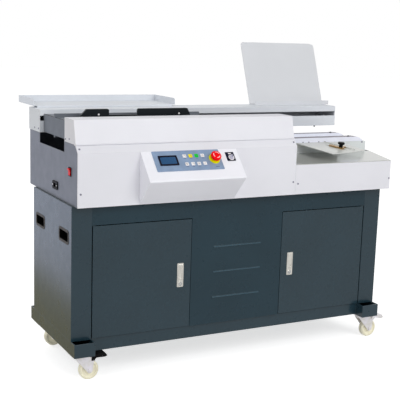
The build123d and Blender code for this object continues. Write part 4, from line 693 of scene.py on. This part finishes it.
def scatter(shape, seats):
    """The same shape set on several seats."""
    points, faces = shape
    return [(on_seat(points, place), faces) for place in seats]


def gather(shapes, place):
    """Several shapes set on the same seat."""
    return [(on_seat(points, place), faces) for points, faces in shapes]


def front_seats(node, holes):
    """Seats on a node's front face."""
    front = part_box(node)[0].y
    places = [spot(x, 0.0, z) for x, z in holes]
    return [seat((place[0], front, place[2]), RIGHTWARD, FORWARD) for place in places]


def end_seats(node, holes):
    """Seats on a node's left end and on its right end."""
    low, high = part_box(node)
    places = [spot(0.0, y, z) for y, z in holes]
    return [seat((face, place[1], place[2]), REARWARD, out)
            for face, out in ((low.x, LEFTWARD), (high.x, RIGHTWARD)) for place in places]


def level_seat(hole, height, out):
    """A seat on a level face at a height in metres, facing up or down."""
    place = spot(*hole, 0.0)
    return seat((place[0], place[1], height), RIGHTWARD, out)


def console_seat(x, down, lift):
    """A seat on the console's slanted face, millimetres right of its left edge and down from its top edge."""
    run = math.hypot(CONSOLE_DEPTH, CONSOLE_DROP)
    slope = np.array([0.0, -CONSOLE_DEPTH / run, -CONSOLE_DROP / run])
    out = np.array([0.0, -CONSOLE_DROP / run, CONSOLE_DEPTH / run])
    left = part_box("console_housing")[0].x
    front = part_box("front_panel_left")[0].y
    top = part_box("body_shell")[1].z - CONSOLE_TOP_DROP
    origin = np.array([left, front, top]) + np.array([x, 0, 0]) * MM + slope * down * MM + out * lift
    return seat(origin, RIGHTWARD, out)


class DressCabinet(bpy.types.Operator):
    """Paints the cabinet, its doors and its base, and finishes the handles and locks"""

    bl_idname = "binder.dress_cabinet"
    bl_label = "Cabinet"

    def execute(self, context):
        sizes = context.scene.binder_sizes
        dress_by_slot(["cabinet_paint", "louvre_paint", "door_paint"], sizes.sheet_edge)
        dress_by_slot(["handle_bezel", "lock_chrome"], sizes.casting_edge)
        return {"FINISHED"}


class DressBody(bpy.types.Operator):
    """Paints the body, the panels, the cover and the rear casing with its tray and copy holder"""

    bl_idname = "binder.dress_body"
    bl_label = "Body and covers"

    def execute(self, context):
        sizes = context.scene.binder_sizes
        dress_by_slot(["body_paint", "white_paint", "beam_paint", "lectern_paint"], sizes.sheet_edge)
        dress_by_slot(["table_paint", "stop_beige"], sizes.sheet_edge)
        return {"FINISHED"}


class DressWorks(bpy.types.Operator):
    """Finishes the carriage, the clamp, the cutter, the glue unit, the shafts and the stop"""

    bl_idname = "binder.dress_works"
    bl_label = "Works"

    def execute(self, context):
        sizes = context.scene.binder_sizes
        dress_by_slot(["carriage_paint", "jaw_black", "tank_aluminium", "brass"], sizes.sheet_edge)
        dress_by_slot(["steel"], 0.0)
        return {"FINISHED"}


class DressCasters(bpy.types.Operator):
    """Finishes the casters' plates, forks, wheels and pedals"""

    bl_idname = "binder.dress_casters"
    bl_label = "Casters"

    def execute(self, context):
        sizes = context.scene.binder_sizes
        dress_by_slot(["zinc", "nylon"], sizes.casting_edge)
        return {"FINISHED"}


class DressControls(bpy.types.Operator):
    """Finishes the keypad, the keys, the display, the switches and the inlet"""

    bl_idname = "binder.dress_controls"
    bl_label = "Controls"

    def execute(self, context):
        sizes = context.scene.binder_sizes
        dress_by_slot(["keypad_film", "display_bezel", "estop_yellow", "estop_red", "rocker_red",
                       "black_plastic"], sizes.casting_edge * 0.6)
        dress_by_slot(["key_white", "key_yellow", "key_green"], 0.0)
        return {"FINISHED"}


class AddPanelScrews(bpy.types.Operator):
    """Sets the cross-head screws of the front panels, the cover and the rear casing"""

    bl_idname = "binder.panel_screws"
    bl_label = "Panel screws"

    def execute(self, context):
        sizes = context.scene.binder_sizes
        head = cross_head(sizes.screw_radius, sizes.screw_height)
        places = front_seats("front_panel_left", PANEL_SCREWS)
        places += [seat(spot(*hole), RIGHTWARD, CHAMFER_OUT) for hole in CHAMFER_SCREWS]
        make_piece("panel_screws", scatter(head, places), "machine", "zinc", "screw_grey")
        places = end_seats("front_cover", COVER_SCREWS)
        make_piece("cover_screws", scatter(head, places), "cover", "zinc", "screw_grey")
        places = end_seats("rail_beam", BEAM_SCREWS)
        make_piece("beam_end_screws", scatter(head, places), "machine", "zinc", "screw_grey")
        return {"FINISHED"}


class AddWorkScrews(bpy.types.Operator):
    """Sets the bolts of the clamp's jaw and the screws on the nipping bed's front"""

    bl_idname = "binder.work_screws"
    bl_label = "Clamp and nipper screws"

    def execute(self, context):
        bolt = hex_head(context.scene.binder_sizes.bolt_radius, 2.2 * MM, 1.2 * MM)
        make_piece("jaw_screws", scatter(bolt, front_seats("clamp_jaw", JAW_BOLTS)), "jaw", "zinc")
        small = cross_head(3.0 * MM, 1.6 * MM)
        places = front_seats("nip_bed", NIP_SCREWS)
        make_piece("nip_front_screws", scatter(small, places), "machine", "zinc", "screw_grey")
        return {"FINISHED"}


class AddRailFittings(bpy.types.Operator):
    """Sets the screws of the nipping rails and their bed, and the bolt under the rear casing"""

    bl_idname = "binder.rail_fittings"
    bl_label = "Rail fittings"

    def execute(self, context):
        tall = cross_head(4.6 * MM, 4.2 * MM)
        places = [level_seat(FRONT_RAIL_SCREW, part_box("nipper_front")[1].z, UPWARD)]
        make_piece("front_rail_screw", scatter(tall, places), "nipper", "black_plastic")
        places = [level_seat(REAR_RAIL_SCREW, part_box("nip_bed")[1].z, UPWARD)]
        make_piece("rear_rail_screw", scatter(tall, places), "machine", "black_plastic")
        low = cross_head(3.6 * MM, 1.8 * MM)
        places = front_seats("nip_bed", [BED_SCREW])
        make_piece("bed_screw", scatter(low, places), "machine", "zinc", "screw_grey")
        bolt = hex_head(4.6 * MM, 5.0 * MM, 1.5 * MM)
        places = [level_seat(BEAM_BOLT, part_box("rail_beam")[0].z, DOWNWARD)]
        make_piece("beam_bolt", scatter(bolt, places), "machine", "black_plastic")
        return {"FINISHED"}


class AddDoorFittings(bpy.types.Operator):
    """Sets the bright rings round the locks' key cylinders and the trim on the carriage's left cheek"""

    bl_idname = "binder.door_fittings"
    bl_label = "Lock rings and trim"

    def execute(self, context):
        ring = turned([(3.6, 0.0), (4.0, 0.6), (6.4, 0.6), (7.0, 0.0), (3.6, 0.0)])
        for side in ("left", "right"):
            low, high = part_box(f"lock_{side}")
            place = seat(((low.x + high.x) / 2, low.y, low.z + 11.9 * MM), RIGHTWARD, FORWARD)
            make_piece(f"lock_ring_{side}", scatter(ring, [place]), f"door_{side}", "zinc", "steel")
        low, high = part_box("carriage")
        place = seat((low.x + 1.6 * MM, low.y, high.z - CHEEK_DROP), REARWARD, UPWARD)
        strips = [dash((start, 0.0), (end, 0.0), 2.6, 1.2) for start, end in CHEEK_TRIM]
        make_piece("cheek_trim", gather(strips, place), "carriage", "black_plastic")
        return {"FINISHED"}


class AddInletScrews(bpy.types.Operator):
    """Sets the two bright flange screws of the mains inlet"""

    bl_idname = "binder.inlet_screws"
    bl_label = "Inlet screws"

    def execute(self, context):
        low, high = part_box("mains_inlet")
        middle = low.z + (high.z - low.z) / 2
        places = [seat((low.x, low.y + share * (high.y - low.y), middle), FORWARD, LEFTWARD)
                  for share in (0.1, 0.9)]
        make_piece("inlet_screws", scatter(cross_head(2.6 * MM, 1.4 * MM), places), "machine", "zinc")
        return {"FINISHED"}


def key_place(row, column, drop, lift):
    """A seat in line with one key of the two rows of four, so far down from the key's middle."""
    return console_seat(FIRST_KEY[0] + KEY_PITCH[0] * column, FIRST_KEY[1] + drop + KEY_PITCH[1] * row, lift)


def mark_keys():
    """A generic mark on each key: a hook, a caret, a bar or an open loop, which rides the key."""
    across = np.linspace(-1.0, 1.0, 25)
    caret = np.stack([across, 1 - 2 * np.abs(across)], axis=1) * 3.2 * MM
    bar = np.stack([across, across / 2], axis=1) * 3.4 * MM
    hook = arc(3.4 * MM, -60.0, 210.0)
    loop = arc(3.2 * MM, 0.0, 320.0)
    paths = {"upper": (hook, caret, bar, caret), "lower": (loop, hook, caret, bar)}
    for row, name in enumerate(paths):
        for column, path in enumerate(paths[name]):
            mark = stroke(path, np.full(25, 1.2 * MM), 0.25 * MM)
            make_piece(f"mark_{name}_{column + 1}", scatter(mark, [key_place(row, column, 0.0, KEY_TOP)]),
                       f"key_{name}_{column + 1}", "black_plastic", "key_mark")


def mark_keypad():
    """A short generic line on the film under each key."""
    line = dash((-4.5, 0.0), (4.5, 0.0), 1.6, 0.2)
    places = [key_place(row, column, KEY_LEGEND_DROP, KEYPAD_THICKNESS)
              for row in range(2) for column in range(4)]
    make_piece("legend_lines", scatter(line, places), "machine", "black_plastic", "film_mark")


def mark_stop():
    """A generic bar under the stop button, and three bent arrows on its head."""
    line = dash((-8.0, 0.0), (8.0, 0.0), 3.0, 0.2)
    places = [console_seat(*STOP_LEGEND_PLACE, KEYPAD_THICKNESS)]
    make_piece("stop_legend", scatter(line, places), "machine", "black_plastic", "film_mark")
    arrows = [curved_arrow(12.4 * MM, start, 84.0, 2.0 * MM, 0.3 * MM) for start in (20.0, 140.0, 260.0)]
    make_piece("stop_arrows", gather(arrows, console_seat(*STOP_PLACE, STOP_TOP)), "estop_head", "key_white")


def mark_selector():
    """The selector's pale ring, the mark on its plate and the line across its knob."""
    ring = turned([(9.3, 0.0), (9.7, 0.7), (11.6, 0.7), (12.0, 0.0), (9.3, 0.0)])
    places = [console_seat(*SELECTOR_PLACE, SELECTOR_RING_TOP)]
    make_piece("selector_ring", scatter(ring, places), "machine", "key_white")
    mark = pillow(12.0 * MM, 4.6 * MM, 0.3 * MM, 0.2)
    places = [console_seat(*SELECTOR_MARK_PLACE, SELECTOR_PLATE_TOP)]
    make_piece("selector_mark", scatter(mark, places), "machine", "key_white")
    line = dash((0.0, -5.6), (0.0, 5.6), 2.4, 0.25)
    places = [console_seat(*SELECTOR_PLACE, SELECTOR_TOP)]
    make_piece("selector_line", scatter(line, places), "selector", "key_white", "film_mark")


class AddControlMarks(bpy.types.Operator):
    """Sets the generic marks of the keys, the stop button's arrows, and the selector's ring and bar"""

    bl_idname = "binder.control_marks"
    bl_label = "Control marks"

    def execute(self, context):
        mark_keys()
        mark_keypad()
        mark_stop()
        mark_selector()
        return {"FINISHED"}


class AddDisplay(bpy.types.Operator):
    """Puts the lit panel, with its rows of fine dots, in the display's bezel"""

    bl_idname = "binder.display"
    bl_label = "Display"

    def execute(self, context):
        place = console_seat(*DISPLAY_PLACE, KEYPAD_THICKNESS + 0.9 * MM)
        glass = pillow(62.6 * MM, 30.6 * MM, 0.4 * MM, 0.08)
        make_piece("display_panel", scatter(glass, [place]), "machine", "display_bezel", "display_light")
        return {"FINISHED"}


class AddStage(bpy.types.Operator):
    """Lays the pale floor, lights it softly and sets the camera"""

    bl_idname = "binder.stage"
    bl_label = "Stage"

    def execute(self, context):
        make_floor()
        make_lights()
        make_camera()
        return {"FINISHED"}


def make_floor():
    """A wide round floor that keeps the shadow and looks white to the camera."""
    spokes = 96
    turn = np.linspace(0.0, 2 * np.pi, spokes, endpoint=False)
    radii = np.array([0.0, 1.0, 3.0, 9.0, 24.0])[:, None]
    points = np.stack([radii * np.cos(turn), radii * np.sin(turn), np.zeros((5, spokes))], axis=-1)
    mesh = bpy.data.meshes.new("floor")
    mesh.from_pydata(points.reshape(-1, 3).tolist(), [], grid_faces(5, spokes, True).tolist())
    mesh.validate()
    mesh.materials.append(floor_material())
    floor = bpy.data.objects.new("floor", mesh)
    bpy.context.scene.collection.objects.link(floor)


def mirrored_floor(nodes, links):
    """What glossy paint sees of the floor: its tones laid out along the machine's length."""
    place = nodes.new("ShaderNodeTexCoord")
    split = nodes.new("ShaderNodeSeparateXYZ")
    links.new(place.outputs["Object"], split.inputs[0])
    along = nodes.new("ShaderNodeMapRange")
    along.inputs["From Min"].default_value = MIRROR_FROM
    along.inputs["From Max"].default_value = 0.0
    links.new(split.outputs["X"], along.inputs["Value"])
    tone = nodes.new("ShaderNodeValToRGB")
    links.new(along.outputs["Result"], tone.inputs["Fac"])
    while len(tone.color_ramp.elements) < len(MIRROR_TONES):
        tone.color_ramp.elements.new(0.5)
    for element, (position, colour) in zip(tone.color_ramp.elements, MIRROR_TONES):
        element.position = position
        element.color = (*colour, 1.0)
    mirrored = nodes.new("ShaderNodeEmission")
    links.new(tone.outputs["Color"], mirrored.inputs["Color"])
    return mirrored.outputs[0]


def floor_material():
    """A floor that takes light and shadow, glows a little to the camera, and has its own look in gloss."""
    material = bpy.data.materials.new("floor")
    material.use_nodes = True
    nodes, links = material.node_tree.nodes, material.node_tree.links
    nodes.clear()
    path = nodes.new("ShaderNodeLightPath")
    lit = nodes.new("ShaderNodeBsdfDiffuse")
    lit.inputs["Color"].default_value = linear(bpy.context.scene.binder_colours.floor)
    glow = nodes.new("ShaderNodeEmission")
    seen = nodes.new("ShaderNodeMath")
    seen.operation = "MULTIPLY"
    seen.inputs[1].default_value = 0.62
    both = nodes.new("ShaderNodeAddShader")
    out = nodes.new("ShaderNodeOutputMaterial")
    links.new(path.outputs["Is Camera Ray"], seen.inputs[0])
    links.new(seen.outputs[0], glow.inputs["Strength"])
    links.new(lit.outputs[0], both.inputs[0])
    links.new(glow.outputs[0], both.inputs[1])
    choice = nodes.new("ShaderNodeMixShader")
    links.new(path.outputs["Is Glossy Ray"], choice.inputs[0])
    links.new(both.outputs[0], choice.inputs[1])
    links.new(mirrored_floor(nodes, links), choice.inputs[2])
    links.new(choice.outputs[0], out.inputs["Surface"])
    return material


def make_world():
    """White to the camera and in reflections, and an even soft light on everything else."""
    world = bpy.data.worlds.new("studio")
    bpy.context.scene.world = world
    world.use_nodes = True
    nodes, links = world.node_tree.nodes, world.node_tree.links
    nodes.clear()
    path = nodes.new("ShaderNodeLightPath")
    first = nodes.new("ShaderNodeMath")
    first.operation = "MAXIMUM"
    second = nodes.new("ShaderNodeMath")
    second.operation = "MAXIMUM"
    level = nodes.new("ShaderNodeMapRange")
    level.inputs["To Min"].default_value = bpy.context.scene.binder_studio.sky
    level.inputs["To Max"].default_value = 1.0
    sky = nodes.new("ShaderNodeBackground")
    sky.inputs["Color"].default_value = (1.0, 1.0, 1.0, 1.0)
    out = nodes.new("ShaderNodeOutputWorld")
    links.new(path.outputs["Is Camera Ray"], first.inputs[0])
    links.new(path.outputs["Is Glossy Ray"], first.inputs[1])
    links.new(first.outputs[0], second.inputs[0])
    links.new(path.outputs["Is Transmission Ray"], second.inputs[1])
    links.new(second.outputs[0], level.inputs["Value"])
    links.new(level.outputs["Result"], sky.inputs["Strength"])
    links.new(sky.outputs[0], out.inputs["Surface"])


def make_lights():
    """The world, a large soft light at the front right, a weaker one at the left, and one for the floor."""
    make_world()
    studio = bpy.context.scene.binder_studio
    for name, power, size, place, target in (
            ("key light", studio.key_power, 4.0, (1.2, -5.4, 3.8), (0.0, 0.0, 0.6)),
            ("fill light", studio.fill_power, 3.0, (-4.6, -2.0, 3.0), (0.0, 0.0, 0.6)),
            ("backdrop light", studio.back_power, 3.0, (-3.6, 4.2, 3.2), (-3.6, 4.4, 0.0))):
        data = bpy.data.lights.new(name, "AREA")
        data.energy = power
        data.size = size
        lamp = bpy.data.objects.new(name, data)
        aim = (Vector(target) - Vector(place)).to_track_quat("-Z", "Y")
        lamp.matrix_world = Matrix.Translation(place) @ aim.to_matrix().to_4x4()
        bpy.context.scene.collection.objects.link(lamp)


def make_camera():
    """The camera of the photograph: where it stood, how it turned, pitched and rolled, and its lens."""
    data = bpy.data.cameras.new("camera")
    data.sensor_width = 36.0
    data.lens = CAMERA_LENS
    data.clip_start = 0.05
    data.clip_end = 60.0
    camera = bpy.data.objects.new("camera", data)
    bpy.context.scene.collection.objects.link(camera)
    turn = Matrix.Rotation(CAMERA_TURN, 4, "Z")
    pitch = Matrix.Rotation(math.pi / 2 - CAMERA_DIP, 4, "X")
    roll = Matrix.Rotation(CAMERA_ROLL, 4, "Z")
    camera.matrix_world = Matrix.Translation(CAMERA_PLACE) @ turn @ pitch @ roll
    bpy.context.scene.camera = camera
    bpy.context.scene.view_settings.view_transform = "Standard"


STEPS = (DressCabinet, DressBody, DressWorks, DressCasters, DressControls, AddPanelScrews, AddWorkScrews,
         AddRailFittings, AddDoorFittings, AddInletScrews, AddControlMarks, AddDisplay, AddStage)
GROUPS = (("binder_colours", BinderColours), ("binder_sizes", BinderSizes), ("binder_studio", BinderStudio))


class BinderPanel(bpy.types.Panel):
    """Lists the machine's pieces, sizes and colours"""

    bl_idname = "VIEW3D_PT_binder"
    bl_label = "Binding Machine"
    bl_space_type = "VIEW_3D"
    bl_region_type = "UI"
    bl_category = "Binding Machine"

    def draw(self, context):
        column = self.layout.column(align=True)
        for step in STEPS:
            column.operator(step.bl_idname)
        for key, group in GROUPS:
            box = self.layout.box()
            for name in group.__annotations__:
                box.prop(getattr(context.scene, key), name)


def register():
    """Registers the settings, the operators and the panel."""
    for key, group in GROUPS:
        bpy.utils.register_class(group)
        setattr(bpy.types.Scene, key, PointerProperty(type=group))
    for step in (*STEPS, BinderPanel):
        bpy.utils.register_class(step)


def unregister():
    """Takes them all away again."""
    for step in (BinderPanel, *reversed(STEPS)):
        bpy.utils.unregister_class(step)
    for key, group in reversed(GROUPS):
        delattr(bpy.types.Scene, key)
        bpy.utils.unregister_class(group)


def main():
    """Runs every step in order."""
    register()
    for step in STEPS:
        group, action = step.bl_idname.split(".")
        getattr(getattr(bpy.ops, group), action)()
    bpy.context.view_layer.update()


if __name__ == "__main__":
    main()
